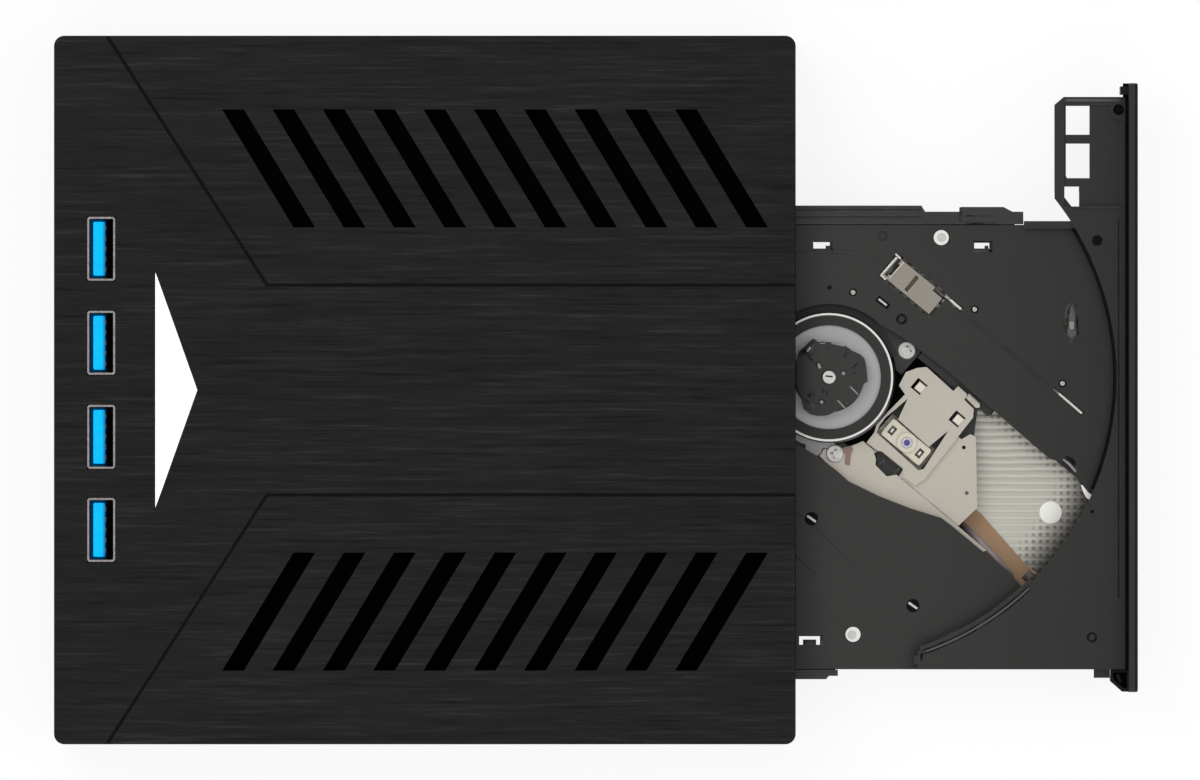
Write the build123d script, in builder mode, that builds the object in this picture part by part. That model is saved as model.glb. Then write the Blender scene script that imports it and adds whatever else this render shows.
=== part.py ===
from build123d import *
from math import cos, radians, sin
import os

os.makedirs("parts", exist_ok=True)

# Outer housing, in millimetres. The origin is on the desk, under the middle of the
# open drive, +X is the way that the tray comes out and +Z is up.
housing_length = 157.0
housing_width = 150.0
housing_bottom = 1.0
housing_top = 21.0
housing_corner = 2.2
housing_wall = 2.0
seam_height = 3.0
tray_shown = 72.5  # how far the bezel stands out of the housing at rest
housing_x = -tray_shown / 2
ceiling = housing_top - housing_wall
foot_radius = 6.0
foot_recess = 0.6
foot_spread = (124.0, 120.0)
screw_spread = (140.0, 138.0)

# Vents and engraved lines of the cover
vent_count = 10
vent_pitch = 10.65
vent_width = 4.6
vent_slant = 15.1
vent_start = -42.9
vent_outer_y = 59.4
vent_inner_y = 34.4
groove_width = 0.7
groove_depth = 0.3

# Upward facing ports along the rear edge
port_x = -68.5
port_ys = (29.9, 10.0, -9.9, -29.6)
port_depth = 5.9
port_width = 13.5
port_sheet = 0.4
board_under = 4.5
board_top = 6.1
inlet_y = 48.0
inlet_z = board_top + 1.63

# Slim drive inside the housing
case_rear = -50.0
case_front = 74.6
case_half_width = 64.0
case_sheet = 0.5
case_under = 4.65
case_floor = case_under + case_sheet
case_top = 17.35
opening_low = 4.3
opening_high = 17.7

# Tray, seen from above in the housing's frame
tray_rear = 23.1
tray_front = 148.4
tray_upper = 35.0
tray_lower = -59.2
rim_top = 14.2
recess_floor = 12.2
skin = 1.5
skirt_under = 6.2
recess_radius = 61.0
gap_radius = 60.3
gap_floor = 11.3
lip_edge = 35.8
lip_under = 12.65
bezel_inner = 149.1
bezel_face = 151.0
button_y = 47.0
button_z = 9.9
pin_hole_y = 34.0

# Spindle and the straight path of the pickup, which leaves the spindle at an angle
spindle_from_middle = (85.6, 2.7)
path_angle = -40.0
rotor_radius = 13.6
seat_top = 13.6
lens_from_spindle = 21.6


def level(height):
    """Plane at a height, with its origin over the middle of the housing."""
    return Plane((housing_x, 0, height))


def spindle_level(height):
    """Plane at a height, with its origin on the spindle's axis."""
    return Plane((housing_x + spindle_from_middle[0], spindle_from_middle[1], height))


def path_level(height):
    """Plane on the spindle's axis, with x along the path of the pickup."""
    turn = radians(path_angle)
    centre = (housing_x + spindle_from_middle[0], spindle_from_middle[1], height)
    return Plane(centre, x_dir=(cos(turn), sin(turn), 0), z_dir=(0, 0, 1))


def end_plane(x):
    """Plane square to the tray's travel, with x across the drive and y up."""
    return Plane((housing_x + x, 0, 0), x_dir=(0, 1, 0), z_dir=(1, 0, 0))


def save(piece, name):
    """Label a finished piece and write it."""
    piece.part.label = name
    export_step(piece.part, f"parts/{name}.step")


# Top cover: the brushed shell with its vents, port openings and screw bosses
boss_radius = 2.8
boss_hole = 1.0
boss_hole_depth = 9.0
lens_half_height = 25.3
lens_rear = -57.1
lens_tip = -48.1
port_gap = 0.1
groove_points = ((-67.94, 76.0), (-33.4, 22.2), (80.0, 22.2))
front_opening_width = 129.9
front_opening_middle = 0.5
inlet_opening = (9.5, 3.8)

with BuildPart() as top_cover:
    with BuildSketch(level(seam_height)):
        RectangleRounded(housing_length, housing_width, housing_corner)
    extrude(amount=housing_top - seam_height)
    fillet(top_cover.faces().sort_by(Axis.Z)[-1].edges(), 0.5)
    with BuildSketch(level(seam_height)):
        RectangleRounded(housing_length - 2 * housing_wall, housing_width - 2 * housing_wall, 0.6)
    extrude(amount=ceiling - seam_height, mode=Mode.SUBTRACT)
    with BuildSketch(level(seam_height)):
        with GridLocations(*screw_spread, 2, 2):
            Circle(boss_radius)
    extrude(amount=ceiling - seam_height)
    with BuildSketch(level(seam_height)):
        with GridLocations(*screw_spread, 2, 2):
            Circle(boss_hole)
    extrude(amount=boss_hole_depth, mode=Mode.SUBTRACT)
    with BuildSketch(level(ceiling)):
        for side in (1, -1):
            for number in range(vent_count):
                start = vent_start + number * vent_pitch
                Polygon(
                    (start, side * vent_outer_y),
                    (start + vent_width, side * vent_outer_y),
                    (start + vent_width + vent_slant, side * vent_inner_y),
                    (start + vent_slant, side * vent_inner_y),
                )
    extrude(amount=housing_wall, mode=Mode.SUBTRACT)
    with BuildSketch(level(housing_top - groove_depth)):
        for side in (1, -1):
            with BuildLine():
                Polyline(*[(x, side * y) for x, y in groove_points])
            trace(line_width=groove_width)
    extrude(amount=groove_depth, mode=Mode.SUBTRACT)
    with BuildSketch(level(ceiling)):
        for port_y in port_ys:
            with Locations((port_x, port_y)):
                Rectangle(port_depth + 2 * port_gap, port_width + 2 * port_gap)
        Polygon(
            (lens_rear, lens_half_height),
            (lens_tip, 0),
            (lens_rear, -lens_half_height),
        )
    extrude(amount=housing_wall, mode=Mode.SUBTRACT)
    with BuildSketch(end_plane(housing_length / 2 - housing_wall)):
        with Locations((front_opening_middle, (opening_low + opening_high) / 2)):
            Rectangle(front_opening_width, opening_high - opening_low)
    extrude(amount=housing_wall, mode=Mode.SUBTRACT)
    with BuildSketch(end_plane(-housing_length / 2)):
        with Locations((inlet_y, inlet_z)):
            SlotOverall(*inlet_opening)
    extrude(amount=housing_wall, mode=Mode.SUBTRACT)
save(top_cover, "top_cover")

# Bottom cover: a flat moulded plate with a locating lip, ribs and board posts
lip_gap = 0.15
lip_width = 1.0
lip_top = 4.2
rib_ys = (-50.0, -20.0, 20.0, 50.0)
rib_length = 118.0
post_spots = ((-72.0, 58.0), (-54.5, 58.0), (-72.0, -58.0), (-54.5, -58.0))
bracket_x = -32.0
bracket_screw_y = 68.5
bracket_sheet = 0.8
bracket_bolt_z = 7.5
rib_width = 2.0
rib_middle_x = 13.0
board_post_radius = 2.6
pilot_radius = 0.9
pilot_under = 0.8
clearance_radius = 1.35
screw_recess_radius = 2.4

with BuildPart() as bottom_cover:
    with BuildSketch(level(housing_bottom)):
        RectangleRounded(housing_length, housing_width, housing_corner)
    extrude(amount=seam_height - housing_bottom)
    fillet(bottom_cover.faces().sort_by(Axis.Z)[0].edges(), 0.6)
    inset = 2 * (housing_wall + lip_gap)
    with BuildSketch(level(seam_height)):
        RectangleRounded(housing_length - inset, housing_width - inset, 0.5)
        Rectangle(
            housing_length - inset - 2 * lip_width,
            housing_width - inset - 2 * lip_width,
            mode=Mode.SUBTRACT,
        )
    extrude(amount=lip_top - seam_height)
    with BuildSketch(level(seam_height)):
        for rib_y in rib_ys:
            with Locations((rib_middle_x, rib_y)):
                Rectangle(rib_length, rib_width)
    extrude(amount=case_under - seam_height)
    with BuildSketch(level(seam_height)):
        with Locations(*post_spots):
            Circle(board_post_radius)
    extrude(amount=board_under - seam_height)
    with BuildSketch(level(housing_bottom)):
        with GridLocations(*foot_spread, 2, 2):
            Circle(foot_radius)
        with GridLocations(*screw_spread, 2, 2):
            Circle(screw_recess_radius)
    extrude(amount=foot_recess, mode=Mode.SUBTRACT)
    with BuildSketch(level(housing_bottom)):
        with GridLocations(*screw_spread, 2, 2):
            Circle(clearance_radius)
    extrude(amount=2 * housing_wall, mode=Mode.SUBTRACT)
    with BuildSketch(level(housing_bottom + pilot_under)):
        with Locations(*post_spots):
            Circle(pilot_radius)
        with Locations((bracket_x, bracket_screw_y), (bracket_x, -bracket_screw_y)):
            Circle(pilot_radius)
    extrude(amount=board_under, mode=Mode.SUBTRACT)
save(bottom_cover, "bottom_cover")

# Rubber feet: four discs seated in round recesses
with BuildPart() as rubber_feet:
    with BuildSketch(level(0)):
        with GridLocations(*foot_spread, 2, 2):
            Circle(foot_radius)
    extrude(amount=housing_bottom + foot_recess)
    fillet(rubber_feet.faces().sort_by(Axis.Z)[:4].edges(), 0.35)
save(rubber_feet, "rubber_feet")

# Case screws: four from below, four in the port board, four in the side brackets
head_lift = 0.05
head_height = 0.55
head_radius = 2.3
thread_radius = 0.98
thread_length = 9.0
cross_length = 2.6
cross_width = 0.5
board_head_radius = 2.2
board_head_height = 1.2
small_thread_radius = 0.88
side_head_radius = 2.0
with BuildPart() as case_screws:
    with BuildSketch(level(housing_bottom + head_lift)):
        with GridLocations(*screw_spread, 2, 2):
            Circle(head_radius)
    extrude(amount=head_height)
    with BuildSketch(level(housing_bottom + head_lift)):
        with GridLocations(*screw_spread, 2, 2):
            Circle(thread_radius)
    extrude(amount=thread_length)
    with BuildSketch(level(housing_bottom + head_lift)):
        with GridLocations(*screw_spread, 2, 2):
            Rectangle(cross_length, cross_width)
            Rectangle(cross_width, cross_length)
    extrude(amount=0.35, mode=Mode.SUBTRACT)
    with BuildSketch(level(board_top)):
        with Locations(*post_spots):
            Circle(board_head_radius)
    extrude(amount=board_head_height)
    with BuildSketch(level(board_top)):
        with Locations(*post_spots):
            Circle(small_thread_radius)
    extrude(amount=-3.4)
    for side in (1, -1):
        bolt_spot = (housing_x + bracket_x, side * (case_half_width + bracket_sheet), bracket_bolt_z)
        with BuildSketch(level(seam_height + bracket_sheet)):
            with Locations((bracket_x, side * bracket_screw_y)):
                Circle(side_head_radius)
        extrude(amount=board_head_height)
        with BuildSketch(level(seam_height + bracket_sheet)):
            with Locations((bracket_x, side * bracket_screw_y)):
                Circle(small_thread_radius)
        extrude(amount=-1.9)
        with BuildSketch(Plane(bolt_spot, z_dir=(0, side, 0))):
            Circle(1.8)
        extrude(amount=0.9)
        with BuildSketch(Plane(bolt_spot, z_dir=(0, side, 0))):
            Circle(0.95)
        extrude(amount=-1.25)
save(case_screws, "case_screws")

# Indicator lens: a flush triangular window with a light guide under it
lens_flange = 0.9
guide_under = board_top + 1.7
guide_size = (3.6, 16.0)
lamp_x = -54.8
with BuildPart() as indicator_lens:
    with BuildSketch(level(ceiling)):
        Polygon(
            (lens_rear + 0.08, lens_half_height - 0.4),
            (lens_tip - 0.1, 0),
            (lens_rear + 0.08, -lens_half_height + 0.4),
        )
    extrude(amount=housing_wall - 0.04)
    with BuildSketch(level(ceiling - lens_flange)):
        Polygon(
            (lens_rear - 1.2, lens_half_height + 2.2),
            (lens_tip + 1.4, 0),
            (lens_rear - 1.2, -lens_half_height - 2.2),
        )
    extrude(amount=lens_flange)
    with BuildSketch(level(guide_under)):
        with Locations((lamp_x, 0)):
            Rectangle(*guide_size)
    extrude(amount=ceiling - lens_flange - guide_under)
save(indicator_lens, "indicator_lens")

# Port board: carries the four ports, the inlet and the plug of the slim drive
port_board_x = -62.9
port_board_size = (22.0, 124.0)
with BuildPart() as port_board:
    with BuildSketch(level(board_under)):
        with Locations((port_board_x, 0)):
            Rectangle(*port_board_size)
        with Locations(*post_spots):
            Circle(1.0, mode=Mode.SUBTRACT)
    extrude(amount=board_top - board_under)
save(port_board, "port_board")

# Port shells: bent steel sleeves that stand on the board and end flush with the cover
shell_top = housing_top - 0.05
spring_offset = 3.2
spring_height = 15.0
spring_size = (1.8, 4.2)
for number, port_y in enumerate(port_ys, start=1):
    with BuildPart() as port_shell:
        with BuildSketch(level(board_top)):
            with Locations((port_x, port_y)):
                RectangleRounded(port_depth, port_width, 0.6)
                RectangleRounded(
                    port_depth - 2 * port_sheet,
                    port_width - 2 * port_sheet,
                    0.25,
                    mode=Mode.SUBTRACT,
                )
        extrude(amount=shell_top - board_top)
        with BuildSketch(end_plane(port_x - port_depth / 2)):
            with Locations((port_y - spring_offset, spring_height), (port_y + spring_offset, spring_height)):
                Rectangle(*spring_size)
        extrude(amount=port_depth, mode=Mode.SUBTRACT)
    save(port_shell, f"port_shell_{number}")

# Port tongues: one blue insulator in each port, base and tongue in one moulding
tongue_shift = -0.42
tongue_thick = 2.5
tongue_wide = 11.4
tongue_top = housing_top - 0.6
base_top = board_top + 3.0
with BuildPart() as port_tongues:
    for port_y in port_ys:
        with BuildSketch(level(board_top)):
            with Locations((port_x, port_y)):
                RectangleRounded(
                    port_depth - 2 * port_sheet - 0.1,
                    port_width - 2 * port_sheet - 0.1,
                    0.3,
                )
        extrude(amount=base_top - board_top)
        with BuildSketch(level(base_top)):
            with Locations((port_x + tongue_shift, port_y)):
                RectangleRounded(tongue_thick, tongue_wide, 0.3)
        extrude(amount=tongue_top - base_top)
save(port_tongues, "port_tongues")

# Port contacts: five gold strips on the wide side of each tongue
contact_pitch = 2.2
contact_count = 5
contact_thick = 0.2
with BuildPart() as port_contacts:
    for port_y in port_ys:
        with BuildSketch(level(base_top)):
            with Locations((port_x + tongue_shift + tongue_thick / 2 + contact_thick / 2, port_y)):
                with GridLocations(0, contact_pitch, 1, contact_count):
                    Rectangle(contact_thick, 1.0)
        extrude(amount=tongue_top - base_top - 1.2)
save(port_contacts, "port_contacts")

# Inlet: the small oval socket in the rear wall that feeds the drive
inlet_outer = (8.94, 3.26)
inlet_inner = (8.34, 2.66)
inlet_length = 7.6
with BuildPart() as inlet_shell:
    with BuildSketch(end_plane(-housing_length / 2 + 0.1)):
        with Locations((inlet_y, inlet_z)):
            SlotOverall(*inlet_outer)
            SlotOverall(*inlet_inner, mode=Mode.SUBTRACT)
    extrude(amount=inlet_length)
save(inlet_shell, "inlet_shell")

with BuildPart() as inlet_tongue:
    with BuildSketch(end_plane(-housing_length / 2 + 1.0)):
        with Locations((inlet_y, inlet_z)):
            Rectangle(6.6, 0.7)
    extrude(amount=5.0)
    with BuildSketch(end_plane(-housing_length / 2 + 6.0)):
        with Locations((inlet_y, inlet_z)):
            SlotOverall(8.24, 2.56)
    extrude(amount=1.6)
save(inlet_tongue, "inlet_tongue")

# Drive plug on the port board and the socket of the slim drive that it enters
plug_y = -38.0
plug_width = 34.0
plug_low = board_top
plug_high = 10.8
tongue_mid = 8.6
with BuildPart() as drive_plug:
    with BuildSketch(end_plane(-57.0)):
        with Locations((plug_y, (plug_low + plug_high) / 2)):
            Rectangle(plug_width, plug_high - plug_low)
    extrude(amount=5.4)
    with BuildSketch(end_plane(-51.6)):
        with Locations((plug_y, tongue_mid)):
            Rectangle(plug_width - 6.0, 1.2)
    extrude(amount=3.4)
save(drive_plug, "drive_plug")

with BuildPart() as drive_socket:
    with BuildSketch(end_plane(-51.4)):
        with Locations((plug_y, tongue_mid)):
            Rectangle(plug_width, 2.8)
    extrude(amount=6.0)
    with BuildSketch(end_plane(-51.4)):
        with Locations((plug_y, tongue_mid)):
            Rectangle(plug_width - 5.6, 1.6)
    extrude(amount=3.8, mode=Mode.SUBTRACT)
save(drive_socket, "drive_socket")

# Side brackets: steel angles that hold the slim drive to the bottom cover
bracket_length = 16.0
bolt_hole = 1.1
beyond_sides = 80.0
with BuildPart() as side_brackets:
    for side in (1, -1):
        with BuildSketch(level(seam_height)):
            with Locations((bracket_x, side * (case_half_width + 3.6))):
                Rectangle(bracket_length, 7.2)
            with Locations((bracket_x, side * bracket_screw_y)):
                Circle(bolt_hole, mode=Mode.SUBTRACT)
        extrude(amount=bracket_sheet)
        with BuildSketch(level(seam_height)):
            with Locations((bracket_x, side * (case_half_width + bracket_sheet / 2))):
                Rectangle(bracket_length, bracket_sheet)
        extrude(amount=6.8)
    with BuildSketch(Plane.XZ.offset(-beyond_sides)):
        with Locations((housing_x + bracket_x, bracket_bolt_z)):
            Circle(bolt_hole)
    extrude(amount=2 * beyond_sides, mode=Mode.SUBTRACT)
save(side_brackets, "side_brackets")

# Case of the slim drive: a folded steel pan and a folded steel lid
drive_board_under = 6.2
drive_board_top = 7.2
pan_post_spots = ((-44.0, 26.0), (-12.0, 26.0), (-44.0, -51.0), (-12.0, -51.0))
lid_fold = 6.0
lid_sheet = 0.4
with BuildPart() as drive_pan:
    case_middle = (case_rear + case_front) / 2
    with BuildSketch(level(case_under)):
        with Locations((case_middle, 0)):
            Rectangle(case_front - case_rear, 2 * case_half_width)
    extrude(amount=case_top - case_sheet - case_under)
    with BuildSketch(level(case_floor)):
        with Locations((case_middle + case_sheet, 0)):
            Rectangle(case_front - case_rear, 2 * (case_half_width - case_sheet))
    extrude(amount=case_top, mode=Mode.SUBTRACT)
    with BuildSketch(level(case_floor)):
        with Locations(*pan_post_spots):
            Circle(1.6)
    extrude(amount=drive_board_under - case_floor)
    with BuildSketch(end_plane(case_rear)):
        with Locations((plug_y, tongue_mid)):
            Rectangle(plug_width + 0.3, 3.1)
    extrude(amount=case_sheet, mode=Mode.SUBTRACT)
    with BuildSketch(Plane.XZ.offset(-beyond_sides)):
        with Locations((housing_x + bracket_x, bracket_bolt_z)):
            Circle(1.0)
    extrude(amount=2 * beyond_sides, mode=Mode.SUBTRACT)
save(drive_pan, "drive_pan")

with BuildPart() as drive_lid:
    with BuildSketch(level(case_top - case_sheet)):
        with Locations((case_middle, 0)):
            Rectangle(case_front - case_rear, 2 * (case_half_width + lid_sheet))
    extrude(amount=case_sheet)
    for side in (1, -1):
        with BuildSketch(level(case_top - case_sheet)):
            with Locations((case_middle, side * (case_half_width + lid_sheet / 2))):
                Rectangle(case_front - case_rear, lid_sheet)
        extrude(amount=-lid_fold)
save(drive_lid, "drive_lid")

# Drive board: fixed in the rear of the pan, under the path of the tray
with BuildPart() as drive_board:
    with BuildSketch(level(drive_board_under)):
        with Locations((-27.5, -12.5)):
            Rectangle(39.0, 85.0)
    extrude(amount=drive_board_top - drive_board_under)
save(drive_board, "drive_board")

# Board components: chips, capacitors and lamps on the two boards
chip_places = ((-60.0, 0.0, 7.0, 7.0), (-60.5, 21.0, 5.0, 5.0), (-60.5, -21.0, 5.0, 5.0))
lamp_places = ((lamp_x, -5.0), (lamp_x, 5.0))
capacitor_places = ((-61.5, 43.0), (-61.5, -43.0))
drive_chips = ((-30.0, 5.0, 14.0, 14.0), (-28.0, -25.0, 9.0, 9.0), (-22.0, -43.0, 6.0, 5.0))
with BuildPart() as board_components:
    for x, y, length, width in chip_places:
        with BuildSketch(level(board_top)):
            with Locations((x, y)):
                Rectangle(length, width)
        extrude(amount=0.9)
    with BuildSketch(level(board_top)):
        with Locations(*lamp_places):
            Rectangle(2.8, 3.5)
    extrude(amount=1.5)
    with BuildSketch(level(board_top)):
        with Locations(*capacitor_places):
            Circle(2.5)
    extrude(amount=5.4)
    for x, y, length, width in drive_chips:
        with BuildSketch(level(drive_board_top)):
            with Locations((x, y)):
                Rectangle(length, width)
        extrude(amount=1.2)
save(board_components, "board_components")

# Rail guides: plastic channels fixed in the pan, whose tongues hold the rails
tongue_low = 8.7
tongue_high = 9.7
run_gap = 0.08
guide_front = 72.0
guide_rear = -49.2
upper_rail_outer = 39.1
lower_rail_outer = -61.3
with BuildPart() as rail_guides:
    guide_middle = (guide_front + guide_rear) / 2
    guide_length = guide_front - guide_rear
    with BuildSketch(level(case_floor)):
        with Locations((guide_middle, upper_rail_outer + run_gap + 1.0)):
            Rectangle(guide_length, 2.0)
        with Locations((guide_middle, lower_rail_outer - run_gap - 1.05)):
            Rectangle(guide_length, 2.1)
    extrude(amount=7.2)
    with BuildSketch(level(tongue_low)):
        with Locations((guide_middle, upper_rail_outer - 0.4)):
            Rectangle(guide_length, 1.0)
        with Locations((guide_middle, lower_rail_outer + 0.2)):
            Rectangle(guide_length, 0.6)
    extrude(amount=tongue_high - tongue_low)
save(rail_guides, "rail_guides")

# Rails: a telescoping pair of grooved bars between the guides and the tray
rail_under = 6.2
rail_top = 12.4
rail_inner = tray_upper + 0.15
upper_rail_rear = 8.8
upper_rail_step = 105.2
upper_rail_front = 126.8
thin_outer = 37.8
lower_rail_rear = -12.5
lower_rail_step = 85.0
lower_rail_front = 87.5
lower_rail_inner = tray_lower - 0.15
with BuildPart() as upper_rail:
    with BuildSketch(level(rail_under)):
        Polygon(
            (upper_rail_rear, rail_inner),
            (upper_rail_front, rail_inner),
            (upper_rail_front, thin_outer),
            (upper_rail_step + 0.8, thin_outer),
            (upper_rail_step, upper_rail_outer),
            (upper_rail_rear, upper_rail_outer),
        )
    extrude(amount=rail_top - rail_under)
    with BuildSketch(level(tongue_low - run_gap)):
        with Locations((70.0, rail_inner + 0.5), (70.0, upper_rail_outer - 0.5)):
            Rectangle(140.0, 1.2)
    extrude(amount=tongue_high - tongue_low + 2 * run_gap, mode=Mode.SUBTRACT)
    with BuildSketch(level(rail_top - 0.5)):
        with Locations((60.0, 36.6), (60.0, 38.2)):
            Rectangle(90.0, 0.5)
    extrude(amount=0.5, mode=Mode.SUBTRACT)
save(upper_rail, "upper_rail")

with BuildPart() as rail_clip:
    with BuildSketch(level(10.1)):
        Polygon(
            (113.5, thin_outer),
            (113.5, thin_outer + 1.0),
            (122.6, thin_outer + 1.0),
            (124.5, thin_outer),
        )
    extrude(amount=rail_top + 0.15 - 10.1)
    with BuildSketch(level(rail_top)):
        with Locations((118.5, 36.9)):
            Rectangle(9.0, 2.2)
    extrude(amount=0.15)
save(rail_clip, "rail_clip")

with BuildPart() as lower_rail:
    with BuildSketch(level(rail_under)):
        Polygon(
            (lower_rail_rear, lower_rail_inner),
            (lower_rail_front, lower_rail_inner),
            (lower_rail_front, -60.6),
            (lower_rail_step + 0.6, -60.6),
            (lower_rail_step, lower_rail_outer),
            (lower_rail_rear, lower_rail_outer),
        )
    extrude(amount=rail_top - rail_under)
    with BuildSketch(level(tongue_low - run_gap)):
        with Locations((40.0, lower_rail_inner - 0.25), (40.0, lower_rail_outer + 0.25)):
            Rectangle(120.0, 0.7)
    extrude(amount=tongue_high - tongue_low + 2 * run_gap, mode=Mode.SUBTRACT)
save(lower_rail, "lower_rail")

# Traverse window: the opening in the tray floor around the spindle and the pickup path
window_ring = 15.6
window_points = (
    (92.0, 16.4), (100.5, 11.6), (104.5, 8.8), (111.3, 3.6), (115.1, 0.3), (132.4, -14.6),
    (136.2, -15.6), (138.9, -20.0), (146.0, -24.0), (131.0, -47.0), (124.6, -39.5),
    (111.8, -28.9), (109.4, -27.1), (102.9, -25.1), (96.0, -22.4), (89.7, -19.3),
    (87.4, -17.2), (83.6, -14.3), (78.0, -11.0),
)
with BuildSketch(level(0)) as window_outline:
    Polygon(*window_points)
    with Locations(spindle_from_middle):
        Circle(recess_radius - 0.05, mode=Mode.INTERSECT)
    with Locations(spindle_from_middle):
        Circle(window_ring)

# Tray: one dark moulding with the disc recess, the front arm and deep side skirts
arm_points = (
    (136.6, 33.0), (136.6, 35.3), (133.4, 40.4), (133.4, 60.45), (135.35, 62.1), (tray_front, 62.1),
    (tray_front, 33.0),
)
arm_panel = ((135.35, 38.9), (135.35, 60.45), (147.4, 60.45), (147.4, 38.9))
arm_windows = (
    ((135.8, 54.1), (140.8, 54.1), (140.8, 60.2), (135.8, 60.2)),
    ((136.1, 44.9), (140.8, 44.9), (140.8, 52.2), (135.8, 52.2), (135.8, 45.3)),
    ((137.0, 38.9), (138.6, 38.9), (138.6, 43.1), (135.5, 43.1), (135.5, 40.8)),
)
arm_depth = 0.5
arm_rib = (142.3, 38.75)
arm_hole = (147.0, 59.4)
slot_upper_one = (84.05, 30.7, 3.5, 1.4)
slot_upper_two = (118.0, 30.6, 3.2, 1.2)
slot_lower = (81.5, -53.1, 4.4, 1.8)
slot_tabs = ((85.35, 30.3, 0.9, 0.6), (119.0, 30.3, 0.8, 0.6), (81.5, -53.45, 2.8, 1.1))
rivet_holes = ((81.9, -27.3), (103.4, -45.7))
rim_marks = ((142.45, 31.65), (141.3, -52.4))
small_pin_spots = ((116.5, 17.1), (135.1, 1.4), (90.7, 20.7))
stud_places = ((109.4, 32.3), (90.7, -51.8))
solenoid_centre = (103.5, 22.2)
solenoid_turn = -39.5
slit_centre = (136.3, -2.4)
lever_slot = ((136.8, 18.6), (135.4, 14.4), (135.6, 11.9), (136.8, 10.1), (138.3, 11.9), (137.8, 18.5))
latch_pivot = (128.0, 26.5)
corner_step = 104.3
under_floor = 4.0
skirt_low = 10.2
corner_top = rim_top - 0.6
slit_turn = -40.8
hole_depth = 1.0
through = 10.0
lip_start = 126.9
lip_end = 138.4
crescent_start = -23.0
crescent_end = 34.0
bead_start = -45.0
bead_end = -71.5
bead_width = 0.8
bead_top = rim_top + 0.3
floor_lines = (((78.2, -25.0), (91.9, -37.5)), ((78.8, -35.2), (83.2, -39.0)), ((113.9, 16.6), (132.6, 0.6)))
rim_line = 147.0
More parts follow.
